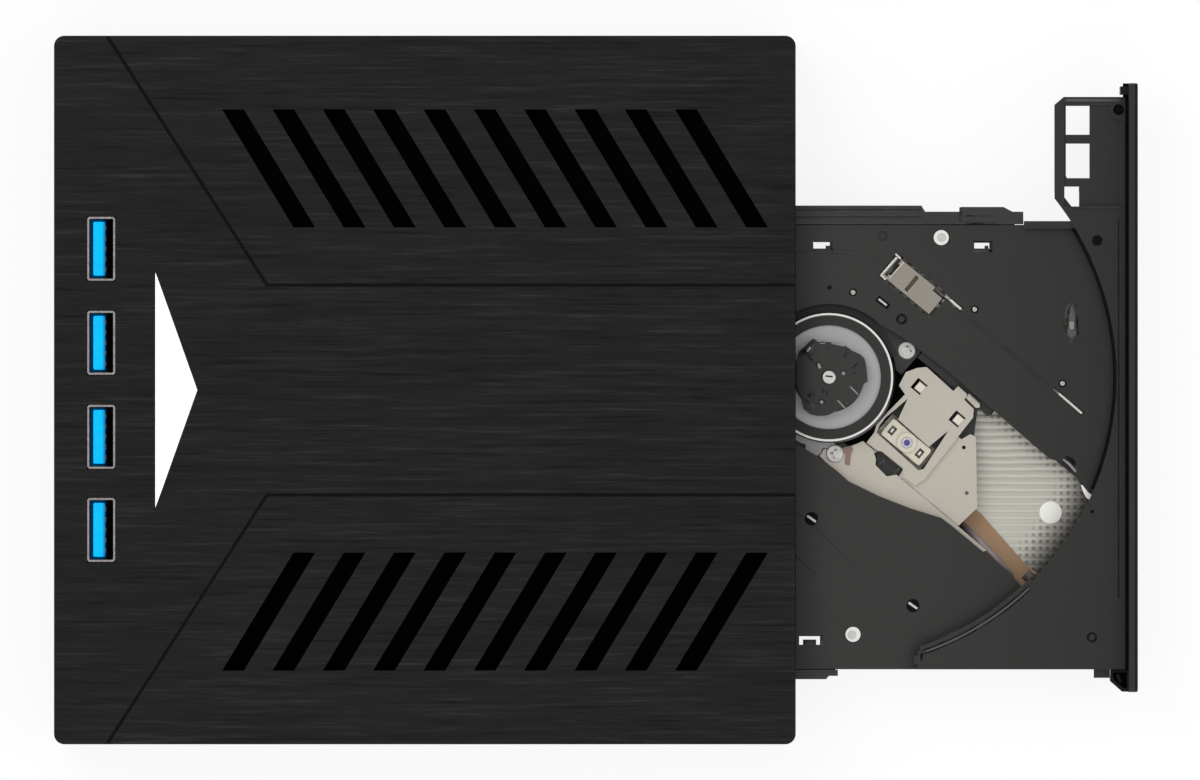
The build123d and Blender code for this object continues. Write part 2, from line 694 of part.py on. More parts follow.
with BuildPart() as tray:
    # outer block
    with BuildSketch(level(skirt_under)):
        Polygon(
            (tray_rear, tray_lower),
            (tray_front, tray_lower),
            (tray_front, tray_upper),
            (tray_rear, tray_upper),
        )
    extrude(amount=rim_top - skirt_under)
    # hollow under the floor and under the rim
    with BuildSketch(level(skirt_under)):
        Polygon(
            (tray_rear - 1, tray_lower + skin),
            (tray_front - skin, tray_lower + skin),
            (tray_front - skin, tray_upper - skin),
            (tray_rear - 1, tray_upper - skin),
        )
    extrude(amount=under_floor, mode=Mode.SUBTRACT)
    with BuildSketch(level(skirt_under + under_floor)):
        Polygon(
            (tray_rear + skin, tray_lower + skin),
            (tray_front - skin, tray_lower + skin),
            (tray_front - skin, tray_upper - skin),
            (tray_rear + skin, tray_upper - skin),
        )
    extrude(amount=recess_floor - skin - skirt_under - under_floor, mode=Mode.SUBTRACT)
    with BuildSketch(level(recess_floor - skin)):
        Polygon(
            (corner_step + skin, tray_lower + skin),
            (tray_front - skin, tray_lower + skin),
            (tray_front - skin, tray_upper - skin),
            (corner_step + skin, tray_upper - skin),
        )
        with Locations(spindle_from_middle):
            Circle(recess_radius + skin, mode=Mode.SUBTRACT)
    extrude(amount=rim_top - recess_floor, mode=Mode.SUBTRACT)
    # the arm is a plate with a lowered panel, and has shallow skirts at its free edges
    with BuildSketch(level(rim_top - skin)):
        Polygon(*arm_points)
    extrude(amount=skin)
    with BuildSketch(level(skirt_low)):
        Polygon((133.4, 42.0), (133.4, 60.45), (135.35, 62.1), (tray_front, 62.1), (tray_front, 42.0))
        Polygon((134.4, 43.0), (134.4, 60.0), (135.9, 61.1), (147.4, 61.1), (147.4, 43.0), mode=Mode.SUBTRACT)
    extrude(amount=rim_top - skirt_low)
    with BuildSketch(level(8.2)):
        with Locations((tray_front - 0.5, 40.0)):
            Rectangle(1.0, 44.0)
    extrude(amount=rim_top - 8.2)
    # disc recess, open towards the rear corner, and the dark gap along its front
    with BuildSketch(level(recess_floor)):
        with Locations(spindle_from_middle):
            Circle(recess_radius)
        Polygon((tray_rear, tray_lower), (corner_step, tray_lower), (corner_step, 0), (tray_rear, 0))
    extrude(amount=4.0, mode=Mode.SUBTRACT)
    with BuildSketch(level(gap_floor)):
        with BuildLine():
            gap_middle = (gap_radius + recess_radius) / 2
            CenterArc(spindle_from_middle, gap_middle, crescent_start, crescent_end - crescent_start)
        trace(line_width=recess_radius - gap_radius)
    extrude(amount=4.0, mode=Mode.SUBTRACT)
    # window, and room under the rim for the pickup at its outer stop
    with BuildSketch(level(skirt_under)):
        add(window_outline.sketch_local)
    extrude(amount=8.0, mode=Mode.SUBTRACT)
    with BuildSketch(path_level(skirt_under)):
        with Locations((66.0, 4.9)):
            Rectangle(24.0, 24.6)
    extrude(amount=5.0, mode=Mode.SUBTRACT)
    # lip over the rail along the upper edge, up to the arm
    with BuildSketch(level(recess_floor)):
        Polygon((lip_start, 34.3), (lip_start, 34.8), (lip_end, 34.8), (lip_end, 34.3))
    extrude(amount=corner_top - recess_floor)
    with BuildSketch(level(lip_under)):
        Polygon((lip_start, 34.4), (lip_start, lip_edge), (lip_end, lip_edge), (lip_end, 34.4))
    extrude(amount=corner_top - lip_under)
    # bead along the recess, short raised arc and thin raised lines on the floor
    with BuildSketch(level(recess_floor)):
        with BuildLine():
            bead_middle = recess_radius - bead_width / 2
            CenterArc(spindle_from_middle, bead_middle, bead_end, bead_start - bead_end)
        trace(line_width=bead_width)
        with Locations((104.3, -57.2)):
            Rectangle(1.3, 1.8)
    extrude(amount=bead_top - recess_floor)
    with BuildSketch(level(recess_floor)):
        with BuildLine():
            CenterArc(spindle_from_middle, 26.7, 62.0, 68.0)
        trace(line_width=0.5)
        for start, end in floor_lines:
            with BuildLine():
                Line(start, end)
            trace(line_width=0.3)
        Polygon((109.0, -52.5), (113.2, -50.6), (113.4, -51.4), (109.2, -53.4))
    extrude(amount=0.2)
    with BuildSketch(level(rim_top)):
        with Locations(arm_rib):
            Rectangle(10.9, 0.4)
    extrude(amount=0.3)
    # slots with their tabs, the latch openings and the arm windows
    with BuildSketch(level(skirt_under)):
        for x, y, length, width in (slot_upper_one, slot_upper_two, slot_lower):
            with Locations((x, y)):
                Rectangle(length, width)
        for outline in arm_windows:
            Polygon(*outline)
        with Locations(solenoid_centre):
            Rectangle(14.2, 6.4, rotation=solenoid_turn)
        with Locations(slit_centre):
            Rectangle(8.3, 0.9, rotation=slit_turn)
        with Locations((112.0, 18.5)):
            Rectangle(5.2, 1.1, rotation=slit_turn)
        with Locations((97.1, 18.5)):
            Rectangle(2.6, 1.0, rotation=-38.0)
        Polygon(*lever_slot)
        with Locations(*stud_places):
            Circle(1.25)
    extrude(amount=through, mode=Mode.SUBTRACT)
    with BuildSketch(level(recess_floor - skin)):
        for x, y, length, width in slot_tabs:
            with Locations((x, y)):
                Rectangle(length, width)
    extrude(amount=skin - 0.2)
    # blind holes, the lowered panel of the arm and the line along the rim
    with BuildSketch(level(recess_floor - hole_depth)):
        with Locations(*rivet_holes):
            Circle(1.45)
        with Locations(*small_pin_spots):
            Circle(0.85)
        with Locations((101.0, 15.0)):
            Circle(1.2)
            Circle(0.6, mode=Mode.SUBTRACT)
        with Locations((85.7, 21.7)):
            Circle(0.5)
    extrude(amount=2.0, mode=Mode.SUBTRACT)
    with BuildSketch(level(recess_floor - 0.4)):
        with Locations((96.9, 32.6)):
            Circle(1.1)
    extrude(amount=2.0, mode=Mode.SUBTRACT)
    with BuildSketch(level(rim_top - 0.9)):
        with Locations(*rim_marks):
            Circle(1.15)
            Circle(0.6, mode=Mode.SUBTRACT)
        with Locations(arm_hole):
            Circle(1.15)
        with Locations((141.4, -25.8)):
            Circle(0.4)
    extrude(amount=2.0, mode=Mode.SUBTRACT)
    with BuildSketch(level(rim_top - arm_depth)):
        Polygon(*arm_panel)
        with Locations(arm_hole):
            Circle(2.1, mode=Mode.SUBTRACT)
        with Locations((rim_line, -4.0)):
            Rectangle(0.35, 80.0)
    extrude(amount=2.0, mode=Mode.SUBTRACT)
    # holes in the front strip for the button's stem and the release pin
    with BuildSketch(end_plane(146.5)):
        with Locations((button_y, button_z)):
            Circle(1.2)
        with Locations((pin_hole_y, button_z)):
            Circle(0.8)
    extrude(amount=3.0, mode=Mode.SUBTRACT)
    # tongues that run in the rails
    with BuildSketch(level(tongue_low)):
        with Locations((74.5, tray_upper + 0.3)):
            Rectangle(101.0, 1.6)
        with Locations((55.5, tray_lower - 0.1)):
            Rectangle(63.0, 1.2)
    extrude(amount=tongue_high - tongue_low)
    # pivot pin of the latch hook and a lug at the front corner
    with BuildSketch(level(7.0)):
        with Locations(latch_pivot):
            Circle(1.0)
    extrude(amount=recess_floor - skin + 0.3 - 7.0)
    with BuildSketch(level(skirt_low)):
        with Locations((143.45, tray_lower - 0.7)):
            Rectangle(3.4, 2.2)
    extrude(amount=corner_top - skirt_low)
save(tray, "tray")

# Bezel: the front plate of the tray, with openings for the button and the release pin
bezel_low = 4.65
bezel_high = 17.35
bezel_y = (-64.0, 65.0)
backing_top = 12.0
button_length = 10.0
button_height = 3.6
gusset_points = ((145.2, -60.9), (145.2, -61.7), (147.7, -63.9), (149.2, -63.9), (149.2, -60.9))
gusset_pocket = ((145.9, -59.9), (145.9, -61.3), (148.0, -63.2), (148.7, -63.2), (148.7, -59.9))
with BuildPart() as bezel:
    bezel_middle = (bezel_y[0] + bezel_y[1]) / 2
    bezel_width = bezel_y[1] - bezel_y[0]
    with BuildSketch(end_plane(bezel_inner)):
        with Locations((bezel_middle, (bezel_low + bezel_high) / 2)):
            RectangleRounded(bezel_width, bezel_high - bezel_low, 1.0)
    extrude(amount=bezel_face - bezel_inner)
    fillet(bezel.faces().sort_by(Axis.X)[-1].edges(), 0.4)
    with BuildSketch(end_plane(tray_front)):
        with Locations((bezel_middle, (bezel_low + 0.6 + backing_top) / 2)):
            Rectangle(bezel_width - 4.0, backing_top - bezel_low - 0.6)
    extrude(amount=bezel_inner - tray_front)
    with BuildSketch(level(bezel_low + 0.7)):
        Polygon((147.3, 62.6), (147.3, 64.3), (bezel_inner + 0.1, 64.3), (bezel_inner + 0.1, 62.6))
        Polygon(*gusset_points)
    extrude(amount=bezel_high - bezel_low - 1.4)
    with BuildSketch(level(skirt_low)):
        Polygon((145.25, -59.25), (bezel_inner + 0.1, -59.25), (bezel_inner + 0.1, -61.2), (145.25, -61.2))
    extrude(amount=corner_top - skirt_low)
    with BuildSketch(level(9.0)):
        Polygon(*gusset_pocket)
    extrude(amount=bezel_high - 9.0, mode=Mode.SUBTRACT)
    with BuildSketch(level(9.0)):
        with Locations((147.0, -61.1)):
            SlotOverall(1.9, 0.7, rotation=-70)
    extrude(amount=6.5)
    with BuildSketch(end_plane(tray_front)):
        with Locations((button_y, button_z)):
            RectangleRounded(button_length + 0.2, button_height + 0.2, 0.8)
        with Locations((pin_hole_y, button_z)):
            Circle(0.7)
    extrude(amount=5.0, mode=Mode.SUBTRACT)
save(bezel, "bezel")

# Bottom shield: a ribbed bright sheet that closes the tray from below
shield_rear = 68.0
shield_upper = 29.2
rib_pitch = 1.47
rib_count = 31
with BuildPart() as bottom_shield:
    with BuildSketch(level(skirt_under - 0.3)):
        Polygon(
            (shield_rear, -50.0),
            (87.0, -50.0),
            (87.0, tray_lower + 0.2),
            (tray_front - 0.4, tray_lower + 0.2),
            (tray_front - 0.4, shield_upper),
            (shield_rear, shield_upper),
        )
    extrude(amount=0.3)
    with BuildSketch(level(skirt_under)):
        with Locations((125.0, -20.5)):
            with GridLocations(0, rib_pitch, 1, rib_count):
                Rectangle(35.0, 0.75)
    extrude(amount=0.12)
save(bottom_shield, "bottom_shield")

# Traverse frame: a dark steel plate that carries the motor and both guide rods
frame_low = 9.3
frame_high = 9.9
main_rod_n = -10.0
side_rod_n = 19.0
screw_n = -15.2
screw_z = 9.0
rod_radius = 1.0
rod_z = 7.85
rod_start = 11.8
foot_under = 6.5
main_rod_end = 68.0
side_rod_end = 62.0
with BuildPart() as traverse_frame:
    with BuildSketch(path_level(frame_low)):
        with Locations((-1.75, 2.0)):
            Rectangle(26.5, 38.0)
        with Locations((40.0, main_rod_n - 0.4)):
            Rectangle(58.0, 3.7)
        with Locations((37.0, side_rod_n + 0.2)):
            Rectangle(51.0, 3.6)
        with Locations((21.5, 16.4)):
            Rectangle(19.5, 2.2)
        Circle(14.3, mode=Mode.SUBTRACT)
        with Locations((10.5, 2.0)):
            Rectangle(12.0, 16.6, mode=Mode.SUBTRACT)
    extrude(amount=frame_high - frame_low)
    with BuildSketch(path_level(foot_under)):
        with Locations((12.8, -12.5)):
            Rectangle(2.4, 4.4)
        with Locations((67.2, -10.3)):
            Rectangle(2.4, 3.8)
        with Locations((12.8, side_rod_n + 0.2), (61.2, side_rod_n + 0.2)):
            Rectangle(2.4, 3.6)
        with Locations((12.8, screw_n)):
            Rectangle(2.4, 3.4)
    extrude(amount=frame_high - foot_under)
    turn = radians(path_angle)
    along = Vector(cos(turn), sin(turn), 0)
    across = Vector(-sin(turn), cos(turn), 0)
    spindle_point = Vector(housing_x + spindle_from_middle[0], spindle_from_middle[1], 0)
    bores = ((main_rod_n, rod_z, 1.06), (side_rod_n, rod_z, 1.06), (screw_n, screw_z, 0.8))
    for offset, height, radius in bores:
        start = spindle_point + along * 11.0 + across * offset + Vector(0, 0, height)
        with BuildSketch(Plane(start, z_dir=along)):
            Circle(radius)
        extrude(amount=60.0, mode=Mode.SUBTRACT)
save(traverse_frame, "traverse_frame")

# Guide rods: two ground steel rods along the pickup's path
with BuildPart() as guide_rods:
    for offset, end in ((main_rod_n, main_rod_end), (side_rod_n, side_rod_end)):
        start = spindle_point + along * rod_start + across * offset + Vector(0, 0, rod_z)
        with BuildSketch(Plane(start, z_dir=along)):
            Circle(rod_radius)
        extrude(amount=end - rod_start)
save(guide_rods, "guide_rods")

# Traverse plate: the bright sheet beside the pickup, over the main rod
bump_spot = (7.2, -13.5)
plate_sheet = 0.4
plate_edge_near = -5.7
plate_edge_far = -6.6
path_step = 23.9
plate_hole = (
    (17.6, -6.1), (18.5, -5.2), (24.8, -5.3), (25.0, -5.9), (24.2, -6.7), (22.9, -8.2), (19.5, -7.9),
    (18.8, -6.9),
)
with BuildPart() as traverse_plate:
    with BuildSketch(level(frame_high)):
        Polygon(
            (84.2, -14.6), (87.5, -17.8), (89.9, -19.9), (96.1, -23.0), (103.0, -25.7),
            (109.4, -27.7), (111.8, -29.5), (118.0, -34.5), (122.0, -32.5), (84.6, -1.0),
            (78.0, -8.0),
        )
    extrude(amount=plate_sheet)
    with BuildSketch(path_level(frame_high)):
        Polygon((0.0, plate_edge_near), (path_step, plate_edge_near), (path_step, plate_edge_far),
                (60.0, plate_edge_far), (60.0, 20.0), (0.0, 20.0))
        Polygon(*plate_hole)
        Circle(15.3)
        with Locations(bump_spot):
            Circle(2.0)
    extrude(amount=plate_sheet, mode=Mode.SUBTRACT)
save(traverse_plate, "traverse_plate")

# Traverse screws: crosshead screws through the frame, into the tray's bosses
screw_cross = (2.0, 0.4)
flange_lift = 0.45
screw_spots = ((9.0, 15.0), (11.4, -11.6), (-12.0, -14.0), (-12.0, 18.0))
with BuildPart() as traverse_screws:
    for x, y in screw_spots:
        lift = flange_lift if (x, y) == screw_spots[1] else 0.0
        with BuildSketch(path_level(frame_high + lift)):
            with Locations((x, y)):
                Circle(1.9)
        extrude(amount=0.55, taper=20)
        with BuildSketch(path_level(frame_high + lift)):
            with Locations((x, y)):
                Rectangle(*screw_cross, rotation=30)
                Rectangle(*screw_cross, rotation=120)
        extrude(amount=0.8, mode=Mode.SUBTRACT)
save(traverse_screws, "traverse_screws")

# Dampers: rubber bushes under the frame at its screws
with BuildPart() as traverse_dampers:
    with BuildSketch(path_level(skirt_under)):
        with Locations(screw_spots[0], screw_spots[2], screw_spots[3]):
            Circle(2.3)
    extrude(amount=frame_low - skirt_under)
save(traverse_dampers, "traverse_dampers")

# Stepper motor: a small can on the end of the lead screw
with BuildPart() as stepper_motor:
    start = spindle_point + along * 62.6 + across * screw_n + Vector(0, 0, screw_z)
    with BuildSketch(Plane(start, z_dir=along)):
        Circle(2.7)
        Circle(0.75, mode=Mode.SUBTRACT)
    extrude(amount=6.2)
save(stepper_motor, "stepper_motor")

# Lead screw: moves the pickup by its rack finger
with BuildPart() as lead_screw:
    start = spindle_point + along * rod_start + across * screw_n + Vector(0, 0, screw_z)
    with BuildSketch(Plane(start, z_dir=along)):
        Circle(0.7)
    extrude(amount=55.0)
    groove_start = spindle_point + along * 15.0 + across * screw_n + Vector(0, 0, screw_z)
    for number in range(44):
        with BuildSketch(Plane(groove_start + along * number, z_dir=along)):
            Circle(0.95)
        extrude(amount=0.55)
save(lead_screw, "lead_screw")

# Spindle base: the motor's steel cup with its bearing and a flange on the frame
base_profile = ((0, 6.35), (14.1, 6.35), (14.1, 9.9), (15.1, 9.9), (15.1, 10.35), (13.85, 10.35),
                (13.85, 6.9), (3.0, 6.9), (3.0, 11.0), (1.56, 11.0), (1.56, 6.9), (0, 6.9))
with BuildPart() as spindle_base:
    with BuildSketch(Plane(spindle_level(0).origin, x_dir=(1, 0, 0), z_dir=(0, -1, 0))):
        Polygon(*base_profile)
    revolve(axis=Axis(spindle_level(0).origin, (0, 0, 1)))
    with BuildSketch(path_level(6.9)):
        with Locations((16.0, 2.0)):
            Rectangle(17.0, 24.0)
    extrude(amount=4.0, mode=Mode.SUBTRACT)
    with BuildSketch(spindle_level(frame_high)):
        with Locations((-3.2, -15.0)):
            Circle(1.8)
        Circle(14.0, mode=Mode.SUBTRACT)
    extrude(amount=flange_lift)
save(spindle_base, "spindle_base")

# Stator: the wound core inside the rotor
with BuildPart() as stator:
    with BuildSketch(spindle_level(8.4)):
        Circle(6.2)
        with PolarLocations(8.6, 9):
            Rectangle(5.4, 1.8)
        Circle(3.0, mode=Mode.SUBTRACT)
    extrude(amount=1.8)
save(stator, "stator")

# Rotor: steel can, shaft and disc seat in one turned body
with BuildPart() as spindle_rotor:
    with BuildSketch(Plane(spindle_level(0).origin, x_dir=(1, 0, 0), z_dir=(0, -1, 0))):
        Polygon(
            (0, 7.0), (1.5, 7.0), (1.5, 11.6), (12.2, 11.6), (12.2, 7.5), (12.8, 7.5),
            (12.8, 12.3), (rotor_radius, 12.3), (rotor_radius, 13.45), (13.15, 13.45),
            (13.15, 13.1), (0, 13.1),
        )
    revolve(axis=Axis(spindle_level(0).origin, (0, 0, 1)))
save(spindle_rotor, "spindle_rotor")

# Turntable pad: the soft ring that the disc lies on
plate_top = 13.1
pad_outer = 13.1
pad_inner = 11.0
with BuildPart() as turntable_pad:
    with BuildSketch(spindle_level(plate_top)):
        Circle(pad_outer)
        Circle(pad_inner, mode=Mode.SUBTRACT)
    extrude(amount=seat_top - plate_top)
save(turntable_pad, "turntable_pad")

# Clamp hub: the black centre that the disc snaps on, with fingers and claw pockets
hub_radius = 7.45
hub_top = 15.6
claw_angles = (13.0, 133.0, 253.0)
finger_angles = (73.0, 193.0, 313.0)
with BuildPart() as clamp_hub:
    with BuildSketch(spindle_level(plate_top)):
        Circle(hub_radius)
    extrude(amount=hub_top - plate_top)
    fillet(clamp_hub.faces().sort_by(Axis.Z)[-1].edges(), 0.9)
    with BuildSketch(spindle_level(hub_top - 0.7)):
        Circle(2.6)
    extrude(amount=1.0, mode=Mode.SUBTRACT)
    for angle in claw_angles:
        with BuildSketch(spindle_level(13.5)):
            with PolarLocations(5.6, 1, start_angle=angle):
                Rectangle(4.4, 2.9)
        extrude(amount=3.0, mode=Mode.SUBTRACT)
    for angle in finger_angles:
        for side in (-19.0, 19.0):
            with BuildSketch(spindle_level(13.9)):
                with PolarLocations(5.4, 1, start_angle=angle + side):
                    Rectangle(4.8, 0.55)
            extrude(amount=3.0, mode=Mode.SUBTRACT)
    with BuildSketch(spindle_level(hub_top - 0.7)):
        Circle(1.3)
    extrude(amount=0.35)
save(clamp_hub, "clamp_hub")

# Clamp claws: three sprung jaws that grip the disc's hole
for number, angle in enumerate(claw_angles, start=1):
    with BuildPart() as clamp_claw:
        with BuildSketch(spindle_level(13.6)):
            with PolarLocations(5.9, 1, start_angle=angle):
                Rectangle(3.4, 2.6)
        extrude(amount=1.9)
        with BuildSketch(spindle_level(14.2)):
            with PolarLocations(7.2, 1, start_angle=angle):
                Rectangle(1.4, 2.6)
        extrude(amount=1.0)
    save(clamp_claw, f"clamp_claw_{number}")

# Pickup sled: the dark cast body of the optical pickup, with its rod bushes and rack finger
sled_low = 6.9
sled_top = 9.6
flange_top = 10.3
with BuildPart() as pickup_sled:
    with BuildSketch(path_level(sled_low)):
        Polygon((15.2, -5.2), (28.6, -5.2), (31.8, -4.0), (31.8, 9.9), (28.6, 15.0), (15.2, 15.0))
        Polygon((14.0, -2.8), (27.4, -2.8), (27.4, 2.8), (14.0, 2.8), mode=Mode.SUBTRACT)
    extrude(amount=sled_top - sled_low)
    with BuildSketch(path_level(foot_under)):
        with Locations((17.8, -8.8), (26.3, -8.8)):
            Rectangle(4.4, 7.2)
        with Locations((22.0, -9.4)):
            Rectangle(3.0, 9.2)
        with Locations((20.5, 17.6)):
            Rectangle(5.0, 5.6)
    extrude(amount=9.2 - foot_under)
    for offset in (main_rod_n, side_rod_n):
        start = spindle_point + along * 11.0 + across * offset + Vector(0, 0, rod_z)
        with BuildSketch(Plane(start, z_dir=along)):
            Circle(rod_radius + 0.05)
        extrude(amount=30.0, mode=Mode.SUBTRACT)
save(pickup_sled, "pickup_sled")

# Pickup plate: the flat silver sheet on the sled, flush with the traverse plate
lens_opening = (
    (15.7, 7.3), (17.0, 2.6), (25.7, 2.3), (26.7, 7.6), (27.9, -2.0), (27.2, -2.9), (15.3, -2.5),
    (14.8, -1.0), (14.7, 1.2), (15.1, 3.4),
)
with BuildPart() as pickup_plate:
    with BuildSketch(path_level(sled_top)):
        Polygon(
            (15.3, -5.5), (17.8, -5.5), (18.6, -4.9), (24.6, -4.8), (24.9, -6.45), (41.3, -6.45),
            (41.9, -1.0), (32.0, 10.4),
            (30.7, 10.0), (30.0, 8.0), (28.2, 8.0), (28.2, -3.0), (15.3, -3.0),
        )
        with Locations((31.5, 7.0), (38.2, 0.0)):
            Circle(0.42, mode=Mode.SUBTRACT)
    extrude(amount=flange_top - sled_top)
save(pickup_plate, "pickup_plate")

# Pickup cover: a pressed sheet with side tabs, a cut-out for the lens and two punched squares
cover_top = 11.1
cover_points = (
    (11.8, 11.3), (12.5, 8.2), (14.7, 7.6), (14.3, 2.6), (14.2, -1.2), (14.9, -2.8), (15.0, -5.4),
    (17.9, -5.2), (18.7, -4.8), (24.4, -4.6), (25.5, -6.1), (28.7, -5.9),
    (29.4, -3.6), (29.1, 7.3), (28.9, 13.1), (27.8, 14.6), (25.1, 14.8), (24.7, 16.1), (22.2, 16.2),
    (22.1, 14.7), (14.5, 15.0), (13.1, 13.6),
)
cover_skirt = ((13.1, 9.0), (13.1, 13.4), (14.7, 14.8), (28.0, 14.5), (28.8, 13.0), (28.8, 9.0))
punch_spots = ((15.9, 10.8), (26.5, 10.7))
punch_side = 2.6
punch_tab = 1.9
with BuildPart() as pickup_cover:
    with BuildSketch(path_level(flange_top)):
        Polygon(*cover_points)
        Polygon(*lens_opening, mode=Mode.SUBTRACT)
    extrude(amount=cover_top - flange_top)
    with BuildSketch(path_level(sled_top)):
        Polygon(*cover_skirt)
    extrude(amount=flange_top - sled_top)
    with BuildSketch(path_level(sled_top)):
        Polygon((14.2, 8.8), (27.8, 8.8), (27.8, 13.6), (14.4, 13.6))
    extrude(amount=cover_top - sled_top - 0.3, mode=Mode.SUBTRACT)
    for x, y in punch_spots:
        with BuildSketch(path_level(flange_top)):
            with Locations((x, y)):
                Rectangle(punch_side, punch_side)
                with Locations((0.35, 0)):
                    Rectangle(punch_tab, punch_tab, mode=Mode.SUBTRACT)
        extrude(amount=2.0, mode=Mode.SUBTRACT)
save(pickup_cover, "pickup_cover")

# Lens holder: floats on the pickup and carries the lens and its two focus coils
lens_radius = 1.15
lens_under = 10.1
with BuildPart() as lens_holder:
    with BuildSketch(path_level(9.4)):
        with Locations((21.4, 0)):
            RectangleRounded(10.6, 4.3, 0.5)
        with Locations((17.55, 0), (25.1, 0)):
            Rectangle(1.3, 1.9, mode=Mode.SUBTRACT)
    extrude(amount=1.3)
    with BuildSketch(path_level(10.7)):
        with Locations((lens_from_spindle, 0)):
            Circle(2.1)
    extrude(amount=0.35)
    with BuildSketch(path_level(lens_under)):
        with Locations((lens_from_spindle, 0)):
            Circle(lens_radius + 0.02)
    extrude(amount=2.0, mode=Mode.SUBTRACT)
save(lens_holder, "lens_holder")

with BuildPart() as lens:
    with BuildSketch(path_level(lens_under)):
        with Locations((lens_from_spindle, 0)):
            Circle(lens_radius)
    extrude(amount=1.1)
    fillet(lens.faces().sort_by(Axis.Z)[-1].edges(), 0.5)
save(lens, "lens")

# Pickup ribbon: the flat brown cable that lies on the shield and runs under the rim
with BuildPart() as pickup_ribbon:
    with BuildSketch(path_level(skirt_under + 0.13)):
        near = ((38.5, -6.9), (38.5, -1.4), (43.5, -1.4))
        far = ((57.9, -3.6), (60.5, -3.4), (60.5, -7.9), (48.0, -7.9))
        Polygon(*near, *far)
    extrude(amount=0.15)
save(pickup_ribbon, "pickup_ribbon")

# Latch solenoid: a bent steel frame around a small coil
solenoid_plane = Plane(
    (housing_x + solenoid_centre[0], solenoid_centre[1], 0),
    x_dir=(cos(radians(solenoid_turn)), sin(radians(solenoid_turn)), 0),
    z_dir=(0, 0, 1),
)
with BuildPart() as solenoid_frame:
    with BuildSketch(solenoid_plane.offset(7.4)):
        Rectangle(12.9, 5.2)
    extrude(amount=4.8)
    with BuildSketch(solenoid_plane.offset(7.9)):
        with Locations((0.6, 0)):
            Rectangle(12.9, 4.2)
    extrude(amount=3.8, mode=Mode.SUBTRACT)
    with BuildSketch(solenoid_plane.offset(11.0)):
        with Locations((-0.5, 0)):
            Rectangle(0.9, 3.9)
        with Locations((-5.1, 0)):
            Rectangle(1.0, 3.0)
    extrude(amount=2.0, mode=Mode.SUBTRACT)
    with BuildSketch(solenoid_plane.offset(9.3)):
        with Locations((5.4, 2.4)):
            Rectangle(3.2, 1.4)
    extrude(amount=4.0, mode=Mode.SUBTRACT)
save(solenoid_frame, "solenoid_frame")

with BuildPart() as solenoid_coil:
    with BuildSketch(solenoid_plane.offset(8.0)):
        with Locations((-0.4, 0)):
            Rectangle(9.6, 3.9)
    extrude(amount=3.5)
    with BuildSketch(Plane(solenoid_plane.offset(9.9).origin, z_dir=solenoid_plane.x_dir)):
        Circle(0.75)
    extrude(amount=8.0, both=True, mode=Mode.SUBTRACT)
save(solenoid_coil, "solenoid_coil")

# Latch link: the plunger of the solenoid with its long thin rod under the floor
link_direction = Vector(cos(radians(slit_turn)), sin(radians(slit_turn)), 0)
link_low = 9.6
link_high = 10.4
link_start = Vector(housing_x + 110.3, 20.0, 0)
link_length = 38.7
with BuildPart() as latch_link:
    link_middle = link_start + link_direction * (link_length / 2)
    with BuildSketch(Plane((link_middle.X, link_middle.Y, link_low), x_dir=link_direction, z_dir=(0, 0, 1))):
        Rectangle(link_length, 0.6)
    extrude(amount=link_high - link_low)
    with BuildSketch(level(link_low)):
        Polygon((109.9, 16.4), (110.8, 15.6), (113.0, 18.0), (112.1, 18.8))
    extrude(amount=link_high - link_low)
    for start, end in ((1.4, 4.4), (31.8, 38.2)):
        piece_middle = link_start + link_direction * ((start + end) / 2)
        piece_plane = Plane((piece_middle.X, piece_middle.Y, link_high), x_dir=link_direction, z_dir=(0, 0, 1))
        with BuildSketch(piece_plane):
            Rectangle(end - start, 0.5)
        extrude(amount=1.6)
    plunger_start = solenoid_plane.offset(9.9).origin + solenoid_plane.x_dir * 1.0
    with BuildSketch(Plane(plunger_start, z_dir=solenoid_plane.x_dir)):
        Circle(0.65)
    extrude(amount=8.2)
    peg = link_start + link_direction * 20.6
    with BuildSketch(Plane((peg.X, peg.Y, 7.4))):
        Circle(0.45)
    extrude(amount=2.3)
save(latch_link, "latch_link")

# Latch hook: turns on a pin of the tray and catches the post of the drive pan
hook_low = 7.2
with BuildPart() as latch_hook:
    with BuildSketch(level(hook_low)):
        with Locations(latch_pivot):
            Circle(2.3)
        Polygon((127.0, 28.4), (133.0, 29.3), (138.6, 31.8), (138.6, 27.6), (129.5, 24.8))
        Polygon((125.9, 25.8), (129.2, 24.9), (124.5, 7.9), (122.9, 8.4))
        with Locations(latch_pivot):
            Circle(1.05, mode=Mode.SUBTRACT)
    extrude(amount=1.4)
save(latch_hook, "latch_hook")

# Release lever: a rocking lever seen through the curved slot of the tray
release_pivot = (138.6, 21.8)
with BuildPart() as release_lever:
    with BuildSketch(level(8.9)):
        with Locations(release_pivot):
            Circle(1.7)
        Polygon((137.3, 22.0), (140.0, 21.4), (138.9, 12.0), (139.4, -1.0), (138.2, -1.2), (136.0, 11.6))
        with Locations(release_pivot):
            Circle(0.75, mode=Mode.SUBTRACT)
    extrude(amount=0.6)
    with BuildSketch(level(9.4)):
        with Locations((137.1, 13.7)):
            RectangleRounded(1.1, 1.8, 0.4)
    extrude(amount=2.2)
save(release_lever, "release_lever")

# Tray studs: bright rivets through the floor, one of them the lever's pivot
with BuildPart() as tray_studs:
    for spot in stud_places:
        with BuildSketch(level(recess_floor)):
            with Locations(spot):
                Circle(1.6)
        extrude(amount=0.3)
        with BuildSketch(level(recess_floor)):
            with Locations(spot):
                Circle(1.2)
        extrude(amount=-skin)
    with BuildSketch(level(8.0)):
        with Locations(release_pivot):
            Circle(0.7)
    extrude(amount=recess_floor - skin - 8.0)
save(tray_studs, "tray_studs")

